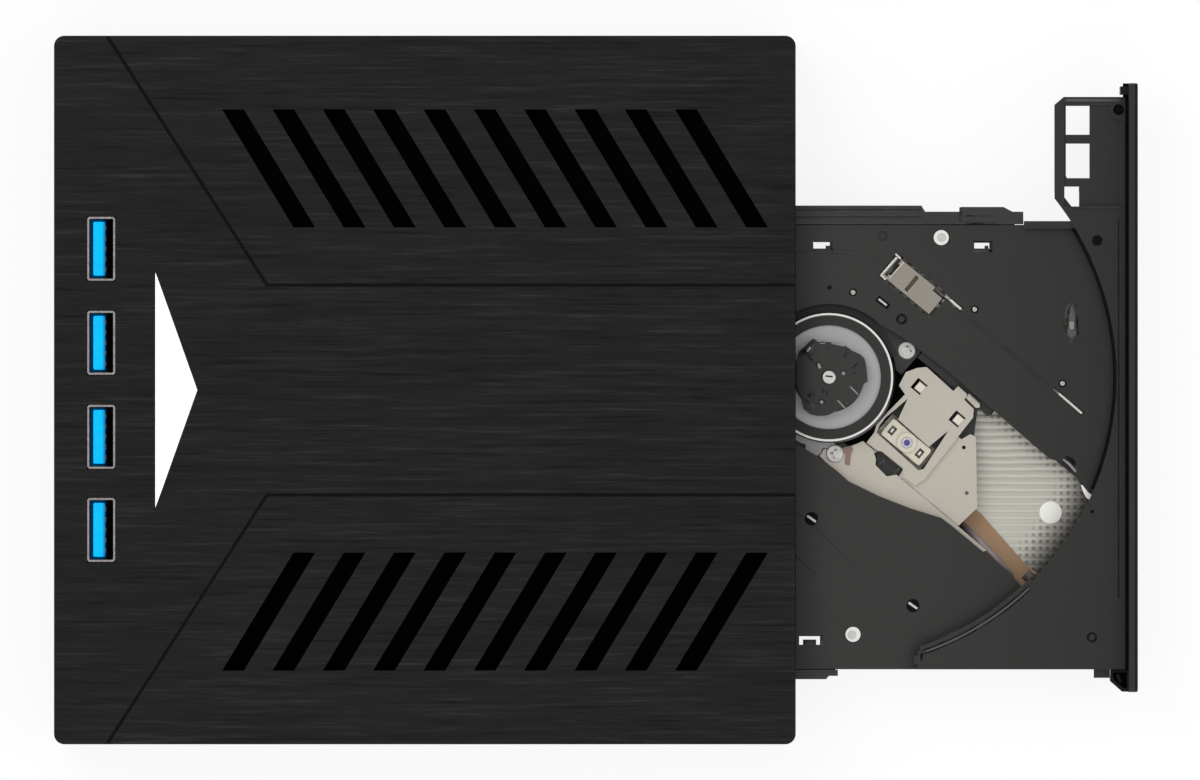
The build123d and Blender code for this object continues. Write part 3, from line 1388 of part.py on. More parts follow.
# Contact spring: a copper pad and strip that ties the frame to ground
with BuildPart() as contact_spring:
    with BuildSketch(level(frame_high + 0.4)):
        with Locations((89.6, -12.6)):
            Circle(1.05)
        Polygon((89.2, -13.2), (90.3, -13.6), (90.0, -16.0), (89.0, -15.7))
        with Locations(spindle_from_middle):
            Circle(15.2, mode=Mode.SUBTRACT)
    extrude(amount=0.25)
save(contact_spring, "contact_spring")

# Eject switch and button behind the bezel
with BuildPart() as eject_switch:
    with BuildSketch(end_plane(tray_front - 4.2)):
        with Locations((button_y, button_z - 0.2)):
            Rectangle(6.0, 3.4)
    extrude(amount=3.0)
save(eject_switch, "eject_switch")

with BuildPart() as eject_button:
    with BuildSketch(end_plane(bezel_inner + 0.3)):
        with Locations((button_y, button_z)):
            RectangleRounded(button_length, button_height, 0.7)
    extrude(amount=bezel_face - bezel_inner - 0.3)
    fillet(eject_button.faces().sort_by(Axis.X)[-1].edges(), 0.3)
    with BuildSketch(end_plane(tray_front - 0.75)):
        with Locations((button_y, button_z)):
            Circle(0.9)
    extrude(amount=bezel_inner - tray_front + 1.1)
save(eject_button, "eject_button")

# Latch post: the steel post of the pan that the hook catches when the tray is home
post_spot = (67.1, 31.8)
with BuildPart() as latch_post:
    with BuildSketch(level(case_floor)):
        with Locations(post_spot):
            Circle(0.9)
    extrude(amount=3.2)
    with BuildSketch(level(case_floor)):
        with Locations(post_spot):
            Circle(1.6)
    extrude(amount=0.4)
save(latch_post, "latch_post")

# Tray ribbon: the flat cable from the drive board to the tray, in a rolling loop
ribbon_width = 18.0
with BuildPart() as tray_ribbon:
    with BuildSketch(Plane((housing_x, 10.0, 0), x_dir=(1, 0, 0), z_dir=(0, -1, 0))):
        with BuildLine():
            FilletPolyline(
                (-14.0, 7.35), (-4.0, 7.35), (-1.0, 5.35), (62.0, 5.35), (62.0, 9.3), (44.0, 9.3),
                (41.5, 10.55), (34.0, 10.55),
                radius=(1.0, 1.0, 1.9, 1.9, 1.0, 1.0),
            )
        trace(line_width=0.16)
    extrude(amount=ribbon_width)
save(tray_ribbon, "tray_ribbon")
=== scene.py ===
import math

import bmesh
import bpy
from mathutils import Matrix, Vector


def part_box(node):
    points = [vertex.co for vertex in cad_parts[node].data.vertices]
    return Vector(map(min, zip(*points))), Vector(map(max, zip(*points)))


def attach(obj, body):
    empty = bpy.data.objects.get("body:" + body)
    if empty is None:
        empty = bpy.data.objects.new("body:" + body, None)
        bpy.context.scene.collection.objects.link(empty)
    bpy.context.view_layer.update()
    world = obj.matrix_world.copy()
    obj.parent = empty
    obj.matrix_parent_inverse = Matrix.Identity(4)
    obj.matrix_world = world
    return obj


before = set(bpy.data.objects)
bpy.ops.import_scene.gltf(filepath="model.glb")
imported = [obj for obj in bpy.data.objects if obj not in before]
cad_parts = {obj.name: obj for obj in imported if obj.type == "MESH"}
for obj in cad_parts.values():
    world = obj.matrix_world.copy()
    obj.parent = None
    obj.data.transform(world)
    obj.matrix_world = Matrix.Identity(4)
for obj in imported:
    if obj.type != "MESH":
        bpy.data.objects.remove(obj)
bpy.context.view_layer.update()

# Studio: a pale floor under the feet, a sky that is white at the horizon and softer
# overhead, and three large lamps at a plain level.
mm = 0.001
floor_size = 14.0
floor_white = (0.96, 0.96, 0.96, 1.0)
sky_low = (1.0, 1.0, 1.0, 1.0)
sky_high = (0.62, 0.62, 0.63, 1.0)
lamps = (
    ("key lamp", (-0.9, 0.9, 1.5), 1.1, 11.0),
    ("fill lamp", (1.3, -0.3, 1.3), 1.2, 6.0),
    ("front lamp", (0.1, -1.5, 1.1), 1.2, 5.0),
)

world = bpy.data.worlds.new("studio sky")
bpy.context.scene.world = world
world.use_nodes = True
sky = world.node_tree
sky_direction = sky.nodes.new("ShaderNodeTexCoord")
sky_split = sky.nodes.new("ShaderNodeSeparateXYZ")
sky_blend = sky.nodes.new("ShaderNodeMix")
sky_blend.data_type = "RGBA"
sky_blend.inputs[6].default_value = sky_low
sky_blend.inputs[7].default_value = sky_high
sky.links.new(sky_direction.outputs["Generated"], sky_split.inputs[0])
sky.links.new(sky_split.outputs["Z"], sky_blend.inputs[0])
sky.links.new(sky_blend.outputs[2], sky.nodes["Background"].inputs["Color"])

for lamp_name, spot, lamp_size, power in lamps:
    lamp = bpy.data.lights.new(lamp_name, "AREA")
    lamp.size = lamp_size
    lamp.energy = power
    holder = bpy.data.objects.new(lamp_name, lamp)
    holder.location = spot
    holder.rotation_euler = (-Vector(spot)).to_track_quat("-Z", "Y").to_euler()
    bpy.context.scene.collection.objects.link(holder)

floor_paint = bpy.data.materials.new("floor white")
floor_paint.use_nodes = True
floor_tree = floor_paint.node_tree
floor_shader = floor_tree.nodes["Principled BSDF"]
floor_shader.inputs["Base Color"].default_value = floor_white
floor_shader.inputs["Roughness"].default_value = 0.9
floor_shader.inputs["Specular IOR Level"].default_value = 0.0
floor_glow = floor_tree.nodes.new("ShaderNodeEmission")
floor_rays = floor_tree.nodes.new("ShaderNodeLightPath")
floor_seen = floor_tree.nodes.new("ShaderNodeMath")
floor_seen.operation = "MAXIMUM"
floor_share = floor_tree.nodes.new("ShaderNodeMath")
floor_share.operation = "MULTIPLY"
floor_share.inputs[1].default_value = 0.85
floor_mix = floor_tree.nodes.new("ShaderNodeMixShader")
floor_tree.links.new(floor_rays.outputs["Is Camera Ray"], floor_seen.inputs[0])
floor_tree.links.new(floor_rays.outputs["Is Glossy Ray"], floor_seen.inputs[1])
floor_through = floor_tree.nodes.new("ShaderNodeMath")
floor_through.operation = "MAXIMUM"
floor_tree.links.new(floor_seen.outputs[0], floor_through.inputs[0])
floor_tree.links.new(floor_rays.outputs["Is Transmission Ray"], floor_through.inputs[1])
floor_tree.links.new(floor_through.outputs[0], floor_share.inputs[0])
floor_tree.links.new(floor_share.outputs[0], floor_mix.inputs[0])
floor_tree.links.new(floor_shader.outputs[0], floor_mix.inputs[1])
floor_tree.links.new(floor_glow.outputs[0], floor_mix.inputs[2])
floor_tree.links.new(floor_mix.outputs[0], floor_tree.nodes["Material Output"].inputs["Surface"])

floor_mesh = bpy.data.meshes.new("floor")
floor_form = bmesh.new()
bmesh.ops.create_grid(floor_form, x_segments=8, y_segments=8, size=floor_size / 2)
floor_form.to_mesh(floor_mesh)
floor_form.free()
floor_mesh.materials.append(floor_paint)
floor = bpy.data.objects.new("floor", floor_mesh)
bpy.context.scene.collection.objects.link(floor)

# Camera: straight above the drive and far away, so that the view is nearly flat.
photo_width = 1200.0
photo_scale = 4.72
housing_px = 425.0
view_height = 6.0
sensor = 36.0
view_plane = 15.0 * mm
cover_low, cover_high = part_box("top_cover")
housing_middle = (cover_low + cover_high) / 2
camera_data = bpy.data.cameras.new("camera")
camera_data.sensor_width = sensor
camera_data.lens = sensor * view_height / (photo_width / photo_scale * mm)
camera_data.clip_end = 100.0
camera = bpy.data.objects.new("camera", camera_data)
camera.location = (
    housing_middle.x + (photo_width / 2 - housing_px) / photo_scale * mm,
    housing_middle.y,
    view_height + view_plane,
)
bpy.context.scene.collection.objects.link(camera)
bpy.context.scene.camera = camera
bpy.context.scene.view_settings.view_transform = "Standard"

# Top cover: a moulded shell with a dark brushed film that runs along the length.
# It is screwed down from below and shows fine light and dark streaks.
cover_black = (0.0105, 0.0105, 0.0107, 1.0)
cover_roughness = 0.42
cover_specular = 0.1
streak_long = 55.0
streak_fine = 1500.0
streak_depth = 0.012 * mm


def new_group(name, inputs, outputs):
    """An empty shader group with these inputs (label, kind, start value) and outputs (label, kind)."""
    made = bpy.data.node_groups.new(name, "ShaderNodeTree")
    kinds = {"value": "NodeSocketFloat", "colour": "NodeSocketColor", "vector": "NodeSocketVector"}
    for label, kind, start in inputs:
        socket = made.interface.new_socket(label, in_out="INPUT", socket_type=kinds[kind])
        socket.default_value = start
    for label, kind in outputs:
        made.interface.new_socket(label, in_out="OUTPUT", socket_type=kinds[kind])
    return made, made.nodes.new("NodeGroupInput"), made.nodes.new("NodeGroupOutput")


def add(tree, kind, **values):
    """A node of this kind, with its own settings and its inputs set or wired by their names."""
    made = tree.nodes.new("ShaderNode" + kind)
    inputs = values.pop("inputs", {})
    for setting, value in values.items():
        setattr(made, setting, value)
    for label, value in inputs.items():
        socket = made.inputs[label]
        if isinstance(value, bpy.types.NodeSocket):
            tree.links.new(value, socket)
        else:
            socket.default_value = value
    return made


def place(tree, group, **values):
    """A copy of a group in a tree, with its inputs set or wired; underscores stand for spaces."""
    made = tree.nodes.new("ShaderNodeGroup")
    made.node_tree = group
    for label, value in values.items():
        socket = made.inputs[label.replace("_", " ")]
        if isinstance(value, bpy.types.NodeSocket):
            tree.links.new(value, socket)
        else:
            socket.default_value = value
    return made


def ranged(tree, value, low, high, to_low=0.0, to_high=1.0):
    """A value between low and high, moved to lie between two others."""
    settings = {"Value": value, "From Min": low, "From Max": high, "To Min": to_low, "To Max": to_high}
    return add(tree, "MapRange", inputs=settings).outputs["Result"]


def blended(tree, share, first, second, kind="MIX"):
    """Two colours mixed by a share."""
    made = add(tree, "Mix", data_type="RGBA", blend_type=kind)
    for number, value in ((0, share), (6, first), (7, second)):
        if isinstance(value, bpy.types.NodeSocket):
            tree.links.new(value, made.inputs[number])
        else:
            made.inputs[number].default_value = value
    return made.outputs[2]


def computed(tree, operation, first, second=0.5, third=0.5):
    """The result of a sum on values."""
    return add(tree, "Math", operation=operation, inputs={0: first, 1: second, 2: third}).outputs[0]


# shared effect: tone and roughness that drift slowly over a surface, and its fine grain
surface_group, surface_in, surface_out = new_group(
    "drift and grain",
    (
        ("Colour", "colour", (0.5, 0.5, 0.5, 1.0)),
        ("Roughness", "value", 0.5),
        ("Drift", "value", 0.1),
        ("Drift scale", "value", 40.0),
        ("Grain", "value", 0.1),
        ("Grain scale", "value", 2500.0),
    ),
    (("Colour", "colour"), ("Roughness", "value"), ("Height", "value")),
)
surface_spot = add(surface_group, "TexCoord").outputs["Object"]
surface_drift = add(surface_group, "TexNoise", inputs={
    "Vector": surface_spot, "Scale": surface_in.outputs["Drift scale"], "Detail": 3.0})
surface_grain = add(surface_group, "TexNoise", inputs={
    "Vector": surface_spot, "Scale": surface_in.outputs["Grain scale"], "Detail": 2.0})
drift_value = computed(surface_group, "SUBTRACT", surface_drift.outputs["Fac"], 0.5)
grain_value = computed(surface_group, "SUBTRACT", surface_grain.outputs["Fac"], 0.5)
drift_part = computed(surface_group, "MULTIPLY", drift_value, surface_in.outputs["Drift"])
grain_part = computed(surface_group, "MULTIPLY", grain_value, surface_in.outputs["Grain"])
tone_sum = computed(surface_group, "ADD", drift_part, grain_part)
tone_factor = computed(surface_group, "MULTIPLY_ADD", tone_sum, 2.0, 1.0)
toned = add(surface_group, "VectorMath", operation="SCALE", inputs={
    0: surface_in.outputs["Colour"], "Scale": tone_factor}).outputs[0]
rough_part = computed(surface_group, "MULTIPLY_ADD", drift_part, 0.8, surface_in.outputs["Roughness"])
surface_group.links.new(toned, surface_out.inputs["Colour"])
surface_group.links.new(rough_part, surface_out.inputs["Roughness"])
surface_group.links.new(surface_grain.outputs["Fac"], surface_out.inputs["Height"])

# shared effect: rounded edges, and a patchy mask along them that carries rubbing on some finishes and a painted
# highlight on others
edge_wear_and_sheen_group, edge_in, edge_out = new_group(
    "rubbed edges",
    (("Radius", "value", 0.2 * mm), ("Wear", "value", 0.5), ("Scale", "value", 260.0)),
    (("Normal", "vector"), ("Mask", "value")),
)
edge_round = add(edge_wear_and_sheen_group, "Bevel", samples=4, inputs={"Radius": edge_in.outputs["Radius"]})
edge_flat = add(edge_wear_and_sheen_group, "NewGeometry").outputs["Normal"]
edge_likeness = add(edge_wear_and_sheen_group, "VectorMath", operation="DOT_PRODUCT", inputs={
    0: edge_round.outputs[0], 1: edge_flat}).outputs["Value"]
edge_turn = ranged(edge_wear_and_sheen_group, edge_likeness, 0.995, 0.86)
edge_noise = add(edge_wear_and_sheen_group, "TexNoise", inputs={
    "Vector": add(edge_wear_and_sheen_group, "TexCoord").outputs["Object"],
    "Scale": edge_in.outputs["Scale"], "Detail": 4.0}).outputs["Fac"]
edge_patches = ranged(edge_wear_and_sheen_group, edge_noise, 0.35, 0.62)
edge_patchy = computed(edge_wear_and_sheen_group, "MULTIPLY", edge_turn, edge_patches)
edge_mask = computed(edge_wear_and_sheen_group, "MULTIPLY", edge_patchy, edge_in.outputs["Wear"])
edge_wear_and_sheen_group.links.new(edge_round.outputs[0], edge_out.inputs["Normal"])
edge_wear_and_sheen_group.links.new(edge_mask, edge_out.inputs["Mask"])

# shared effect: brushed streaks along one axis, chosen by how far each axis is stretched
brush_group, brush_in, brush_out = new_group(
    "brushed streaks",
    (("Stretch", "vector", (55.0, 1500.0, 1500.0)),),
    (("Streaks", "value"), ("Hairlines", "value")),
)
brush_spot = add(brush_group, "VectorMath", operation="MULTIPLY", inputs={
    0: add(brush_group, "TexCoord").outputs["Object"], 1: brush_in.outputs["Stretch"]}).outputs[0]
brush_wide = add(brush_group, "TexNoise", inputs={
    "Vector": brush_spot, "Scale": 1.0, "Detail": 2.0, "Roughness": 0.6}).outputs["Fac"]
brush_fine = add(brush_group, "TexNoise", inputs={
    "Vector": brush_spot, "Scale": 2.7, "Detail": 1.0}).outputs["Fac"]
brush_group.links.new(brush_wide, brush_out.inputs["Streaks"])
brush_group.links.new(brush_fine, brush_out.inputs["Hairlines"])


def new_material(name, **constants):
    """A material and its shader, with constants set on the shader's own sockets."""
    made = bpy.data.materials.new(name)
    made.use_nodes = True
    shader = made.node_tree.nodes["Principled BSDF"]
    for label, value in constants.items():
        shader.inputs[label.replace("_", " ")].default_value = value
    return made, made.node_tree, shader


def bump(tree, shader, height, distance, normal):
    """Relief of a real depth on a shader, over a rounded normal."""
    relief = add(tree, "Bump", inputs={"Height": height, "Distance": distance, "Normal": normal})
    relief.inputs["Strength"].default_value = 1.0
    tree.links.new(relief.outputs[0], shader.inputs["Normal"])


def finish(name, colour, roughness, drift=0.12, drift_scale=40.0, grain=0.1, grain_scale=2500.0,
           relief=0.004, wear_and_sheen=0.5, worn_and_sheen=(0.2, 0.2, 0.2, 1.0), edge=0.2, **constants):
    """An even finish with drift, grain and edges in a second colour, rubbed on some finishes and a painted highlight on
    others; relief and edge are in millimetres.
    """
    made, tree, shader = new_material(name, **constants)
    body = place(tree, surface_group, Colour=colour, Roughness=roughness, Drift=drift,
                 Drift_scale=drift_scale, Grain=grain, Grain_scale=grain_scale)
    rim = place(tree, edge_wear_and_sheen_group, Radius=edge * mm, Wear=wear_and_sheen)
    shade = blended(tree, rim.outputs["Mask"], body.outputs["Colour"], worn_and_sheen)
    tree.links.new(shade, shader.inputs["Base Color"])
    tree.links.new(body.outputs["Roughness"], shader.inputs["Roughness"])
    bump(tree, shader, body.outputs["Height"], relief * mm, rim.outputs["Normal"])
    return made


def brushed(name, colour, roughness, stretch, depth=0.004, spread=0.3, edge=0.2, wear_and_sheen=0.5,
            worn_and_sheen=(0.5, 0.5, 0.5, 1.0), **constants):
    """A finish with streaks along one axis; depth and edge are in millimetres."""
    made, tree, shader = new_material(name, **constants)
    lines = place(tree, brush_group, Stretch=stretch)
    body = place(tree, surface_group, Colour=colour, Roughness=roughness, Drift=0.1,
                 Drift_scale=30.0, Grain=0.0)
    rim = place(tree, edge_wear_and_sheen_group, Radius=edge * mm, Wear=wear_and_sheen)
    light = ranged(tree, lines.outputs["Streaks"], 0.3, 0.7, 1.0 - spread, 1.0 + spread)
    fine = ranged(tree, lines.outputs["Hairlines"], 0.3, 0.7, 1.0 - spread / 2, 1.0 + spread / 2)
    both = computed(tree, "MULTIPLY", light, fine)
    lit = add(tree, "VectorMath", operation="SCALE", inputs={
        0: body.outputs["Colour"], "Scale": both}).outputs[0]
    shade = blended(tree, rim.outputs["Mask"], lit, worn_and_sheen)
    dull = ranged(tree, lines.outputs["Streaks"], 0.3, 0.7, roughness * 1.15, roughness * 0.85)
    tree.links.new(shade, shader.inputs["Base Color"])
    tree.links.new(dull, shader.inputs["Roughness"])
    bump(tree, shader, lines.outputs["Streaks"], depth * mm, rim.outputs["Normal"])
    return made


def dress(material, *nodes, crisp=28.0):
    """Give CAD nodes a material, with smooth round faces and crisp edges."""
    for name in nodes:
        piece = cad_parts[name]
        piece.data.materials.clear()
        piece.data.materials.append(material)
        for face in piece.data.polygons:
            face.use_smooth = True
        weld = piece.modifiers.new("weld", "WELD")
        weld.merge_threshold = 0.001 * mm
        split = piece.modifiers.new("crisp edges", "EDGE_SPLIT")
        split.split_angle = math.radians(crisp)


# the film's dashes are both lighter and darker than its ground; painted shade darkens it just below its top face, so
# engraved lines read black
cover_film, film_tree, film_shader = new_material("brushed film", Specular_IOR_Level=cover_specular)
film_lines = place(film_tree, brush_group, Stretch=(streak_long, streak_fine, streak_fine))
film_bands = place(film_tree, brush_group, Stretch=(streak_long / 2, streak_fine / 4, streak_fine / 4))
film_rim = place(film_tree, edge_wear_and_sheen_group, Radius=0.35 * mm, Wear=0.35)
film_light = ranged(film_tree, film_lines.outputs["Streaks"], 0.55, 0.75, 1.0, 2.1)
film_dark = ranged(film_tree, film_lines.outputs["Streaks"], 0.45, 0.25, 1.0, 0.35)
film_hair = ranged(film_tree, film_lines.outputs["Hairlines"], 0.3, 0.7, 0.85, 1.15)
film_band = ranged(film_tree, film_bands.outputs["Streaks"], 0.3, 0.7, 0.86, 1.14)
film_pair = computed(film_tree, "MULTIPLY", film_light, film_dark)
film_fine = computed(film_tree, "MULTIPLY", film_hair, film_band)
film_height = add(film_tree, "SeparateXYZ", inputs={
    "Vector": add(film_tree, "TexCoord").outputs["Object"]}).outputs["Z"]
# painted shade: the colour drops with depth below the face, then comes back lower down the sides
film_groove_shade = ranged(film_tree, film_height, 20.86 * mm, 20.97 * mm, 0.12, 1.0)
film_side = ranged(film_tree, film_height, 20.2 * mm, 20.0 * mm, 0.0, 0.85)
film_depth_shade = computed(film_tree, "ADD", film_groove_shade, film_side)
film_tone = computed(film_tree, "MULTIPLY", computed(film_tree, "MULTIPLY", film_pair, film_fine), film_depth_shade)
film_lit = add(film_tree, "VectorMath", operation="SCALE", inputs={0: cover_black[:3], "Scale": film_tone}).outputs[0]
film_shade = blended(film_tree, film_rim.outputs["Mask"], film_lit, (0.03, 0.03, 0.03, 1.0))
film_dull = ranged(film_tree, film_lines.outputs["Streaks"], 0.3, 0.7, cover_roughness * 1.2, cover_roughness * 0.8)
film_tree.links.new(film_shade, film_shader.inputs["Base Color"])
film_tree.links.new(film_dull, film_shader.inputs["Roughness"])
bump(film_tree, film_shader, film_lines.outputs["Streaks"], streak_depth, film_rim.outputs["Normal"])
dress(cover_film, "top_cover")

# Bottom cover: a plain black moulding with a fine spark texture. It is closed by four
# screws and stands on four soft rubber feet.
base_plastic = finish("moulded base", (0.012, 0.012, 0.0122, 1.0), 0.55, grain=0.25, relief=0.03,
                      grain_scale=1800.0, Specular_IOR_Level=0.3)
foot_rubber = finish("foot rubber", (0.022, 0.022, 0.022, 1.0), 0.8, grain=0.2, relief=0.02,
                     worn_and_sheen=(0.05, 0.05, 0.05, 1.0), Specular_IOR_Level=0.25)
screw_steel = brushed("screw steel", (0.36, 0.36, 0.36, 1.0), 0.35, (900.0, 900.0, 300.0), Metallic=1.0)
dress(base_plastic, "bottom_cover")
dress(foot_rubber, "rubber_feet", "traverse_dampers")
dress(screw_steel, "case_screws")

# Indicator lens: a milky light guide that fills the arrow in the cover. It is moulded
# in one piece, pressed in from behind, and glows evenly.
lens_white = finish("milky lens", (0.93, 0.93, 0.94, 1.0), 0.35, drift=0.02, grain=0.02,
                    wear_and_sheen=0.0, Emission_Color=(1.0, 1.0, 1.0, 1.0), Emission_Strength=0.3)
dress(lens_white, "indicator_lens")

# Ports: folded steel sleeves round blue tongues with gold contacts. They are soldered
# to the port board and show through openings in the cover.
port_steel = brushed("bright port steel", (0.33, 0.3, 0.285, 1.0), 0.4, (1200.0, 1200.0, 90.0),
                     edge=0.12, wear_and_sheen=0.3, Metallic=0.6)
port_blue, blue_tree, blue_shader = new_material("blue insulator", Roughness=0.5, Specular_IOR_Level=0.1)
blue_spot = add(blue_tree, "TexCoord").outputs["Object"]
blue_place = add(blue_tree, "SeparateXYZ", inputs={"Vector": blue_spot})
# painted shade: the tongue darkens towards one side and deeper down in its sleeve
blue_side_shade = ranged(blue_tree, blue_place.outputs["X"], -104.7 * mm, -103.6 * mm, 1.0, 0.0)
blue_depth_shade = ranged(blue_tree, blue_place.outputs["Z"], 16.0 * mm, 20.0 * mm, 0.25, 1.0)
blue_mottle = add(blue_tree, "TexNoise", inputs={"Vector": blue_spot, "Scale": 700.0, "Detail": 3.0}).outputs["Fac"]
blue_tone = ranged(blue_tree, blue_mottle, 0.3, 0.7, 0.93, 1.07)
blue_unshaded_share = computed(blue_tree, "MULTIPLY", computed(blue_tree, "MULTIPLY", blue_side_shade, blue_depth_shade), blue_tone)
blue_shade = blended(blue_tree, blue_unshaded_share, (0.001, 0.001, 0.002, 1.0), (0.0, 0.42, 1.0, 1.0))
blue_tree.links.new(blue_shade, blue_shader.inputs["Base Color"])
# a painted glow: the tongue also gives off its own blue as light
blue_tree.links.new(blue_shade, blue_shader.inputs["Emission Color"])
blue_shader.inputs["Emission Strength"].default_value = 0.25
bump(blue_tree, blue_shader, blue_mottle, 0.004 * mm,
     place(blue_tree, edge_wear_and_sheen_group, Radius=0.15 * mm, Wear=0.0).outputs["Normal"])
contact_gold = finish("gold contacts", (0.35, 0.22, 0.08, 1.0), 0.35, Metallic=1.0)
connector_black = finish("black insulator", (0.014, 0.014, 0.014, 1.0), 0.5)
dress(port_steel, "port_shell_1", "port_shell_2", "port_shell_3", "port_shell_4", "inlet_shell")
dress(port_blue, "port_tongues")
dress(contact_gold, "port_contacts")
dress(connector_black, "inlet_tongue", "drive_plug", "drive_socket", "eject_switch")

# Boards: green solder mask over copper, with small black packages. The large one stands
# behind the drive and the small one under the ports.
board_green = finish("solder mask", (0.012, 0.07, 0.03, 1.0), 0.35, drift=0.3, drift_scale=300.0)
package_black = finish("black packages", (0.012, 0.012, 0.012, 1.0), 0.45)
dress(board_green, "port_board", "drive_board")
dress(package_black, "board_components")

# Slim drive case: folded sheet with a black coat, a pan and a lid that hook together.
# Galvanised angles at its sides hold it in the housing.
case_black = finish("black coated sheet", (0.0015, 0.0015, 0.0015, 1.0), 0.7, drift=0.2, wear_and_sheen=0.1,
                    worn_and_sheen=(0.01, 0.01, 0.01, 1.0), Specular_IOR_Level=0.0)
bracket_zinc = finish("galvanised sheet", (0.45, 0.46, 0.47, 1.0), 0.4, drift=0.5, drift_scale=220.0,
                      Metallic=1.0)
dress(case_black, "drive_pan", "drive_lid")
dress(bracket_zinc, "side_brackets", "latch_post")

# Rails: slick black mouldings that telescope between the case and the tray. Their
# edges are polished by the sliding.
rail_black = finish("slick rail plastic", (0.019, 0.0188, 0.018, 1.0), 0.35, grain=0.1,
                    worn_and_sheen=(0.09, 0.09, 0.088, 1.0), wear_and_sheen=0.9, edge=0.25, Specular_IOR_Level=0.5)
dress(rail_black, "rail_guides", "upper_rail", "rail_clip", "lower_rail")

# Tray: one warm dark grey moulding with a matt floor and a painted highlight on its edges. A painted
# shading makes it a little darker towards the bezel, and small steel pins close its moulded holes.
tray_lit_grey = (0.0295, 0.0292, 0.0275, 1.0)
tray_shaded_grey = (0.0185, 0.018, 0.017, 1.0)
tray_grey, tray_tree, tray_shader = new_material("tray plastic", Specular_IOR_Level=0.25)
tray_spot = add(tray_tree, "TexCoord").outputs["Object"]
tray_place = add(tray_tree, "SeparateXYZ", inputs={"Vector": tray_spot})
# painted shading: the grey falls from lit to shaded towards the bezel
tray_light_falloff = ranged(tray_tree, tray_place.outputs["X"], 42.0 * mm, 108.0 * mm)
tray_ground = blended(tray_tree, tray_light_falloff, tray_lit_grey, tray_shaded_grey)
tray_from_spindle = add(tray_tree, "VectorMath", operation="DISTANCE", inputs={
    0: add(tray_tree, "VectorMath", operation="MULTIPLY", inputs={0: tray_spot, 1: (1.0, 1.0, 0.0)}).outputs[0],
    1: (49.35 * mm, 2.7 * mm, 0.0)}).outputs["Value"]
# painted shade: the gap below the floor under the recess's wall is turned near black
tray_gap = ranged(tray_tree, tray_from_spindle, 60.15 * mm, 60.35 * mm)
tray_below = ranged(tray_tree, tray_place.outputs["Z"], 12.15 * mm, 12.05 * mm)
tray_gap_shade = computed(tray_tree, "MULTIPLY", tray_gap, tray_below)
tray_foot = ranged(tray_tree, tray_from_spindle, 58.8 * mm, 60.6 * mm, 0.0, 0.6)
tray_low = ranged(tray_tree, tray_place.outputs["Z"], 13.0 * mm, 12.6 * mm)
tray_side = ranged(tray_tree, tray_place.outputs["X"], 66.0 * mm, 70.0 * mm)
tray_shadow = computed(tray_tree, "MULTIPLY", computed(tray_tree, "MULTIPLY", tray_foot, tray_low), tray_side)
tray_shaded = blended(tray_tree, tray_shadow, tray_ground, (0.003, 0.003, 0.003, 1.0))
tray_gap_shaded = blended(tray_tree, tray_gap_shade, tray_shaded, (0.002, 0.002, 0.002, 1.0))
tray_body = place(tray_tree, surface_group, Colour=tray_gap_shaded, Roughness=0.5, Drift=0.08, Grain=0.1)
# the edge mask here paints a highlight along the tray's edges
tray_rim = place(tray_tree, edge_wear_and_sheen_group, Radius=0.22 * mm, Wear=0.75)
tray_shade = blended(tray_tree, tray_rim.outputs["Mask"], tray_body.outputs["Colour"], (0.075, 0.074, 0.07, 1.0))
tray_tree.links.new(tray_shade, tray_shader.inputs["Base Color"])
tray_tree.links.new(tray_body.outputs["Roughness"], tray_shader.inputs["Roughness"])
bump(tray_tree, tray_shader, tray_body.outputs["Height"], 0.006 * mm, tray_rim.outputs["Normal"])
dress(tray_grey, "tray")

pin_steel = finish("pin steel", (0.4, 0.39, 0.37, 1.0), 0.35, Metallic=0.6)
# a pale for painted highlights on edges, ridges and dome tops
highlight_pale = finish("pale plastic", (0.24, 0.235, 0.22, 1.0), 0.45, grain=0.15)
# a near-black for painted shade, laid in holes, gaps, creases and under parts where shade falls
painted_shade_black = finish("soot black", (0.004, 0.004, 0.004, 1.0), 0.7, Specular_IOR_Level=0.05)


def at(x, y, z):
    """A spot from millimetres, with x counted from the middle of the housing."""
    return Vector(((x - 36.25) * mm, y * mm, z * mm))


def on_path(u, n, z):
    """A spot from millimetres along and across the pickup's path, counted from the spindle."""
    turn = math.radians(-40.0)
    return at(85.6 + u * math.cos(turn) - n * math.sin(turn), 2.7 + u * math.sin(turn) + n * math.cos(turn), z)


def circle(x, y, radius, steps=40):
    """The outline of a round shape, in millimetres."""
    turns = [math.tau * step / steps for step in range(steps)]
    return [(x + radius * math.cos(turn), y + radius * math.sin(turn)) for turn in turns]


def bar(x, y, length, width, turn=0.0):
    """The outline of a straight bar, in millimetres and degrees."""
    cosine, sine = math.cos(math.radians(turn)), math.sin(math.radians(turn))
    corners = ((-0.5, -0.5), (0.5, -0.5), (0.5, 0.5), (-0.5, 0.5))
    return [(x + a * length * cosine - b * width * sine, y + a * length * sine + b * width * cosine)
            for a, b in corners]


def shown(name, form, material, body, edge):
    """A piece made from a finished form, with rounded edges, that moves with a body."""
    mesh = bpy.data.meshes.new(name)
    bmesh.ops.recalc_face_normals(form, faces=form.faces)
    form.to_mesh(mesh)
    form.free()
    mesh.materials.append(material)
    made = bpy.data.objects.new(name, mesh)
    bpy.context.scene.collection.objects.link(made)
    for face in mesh.polygons:
        face.use_smooth = True
    rounding = made.modifiers.new("rounded edges", "BEVEL")
    rounding.width = edge * mm
    rounding.segments = 2
    rounding.limit_method = "ANGLE"
    rounding.angle_limit = math.radians(40.0)
    split = made.modifiers.new("crisp edges", "EDGE_SPLIT")
    split.split_angle = math.radians(35.0)
    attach(made, body)
    return made


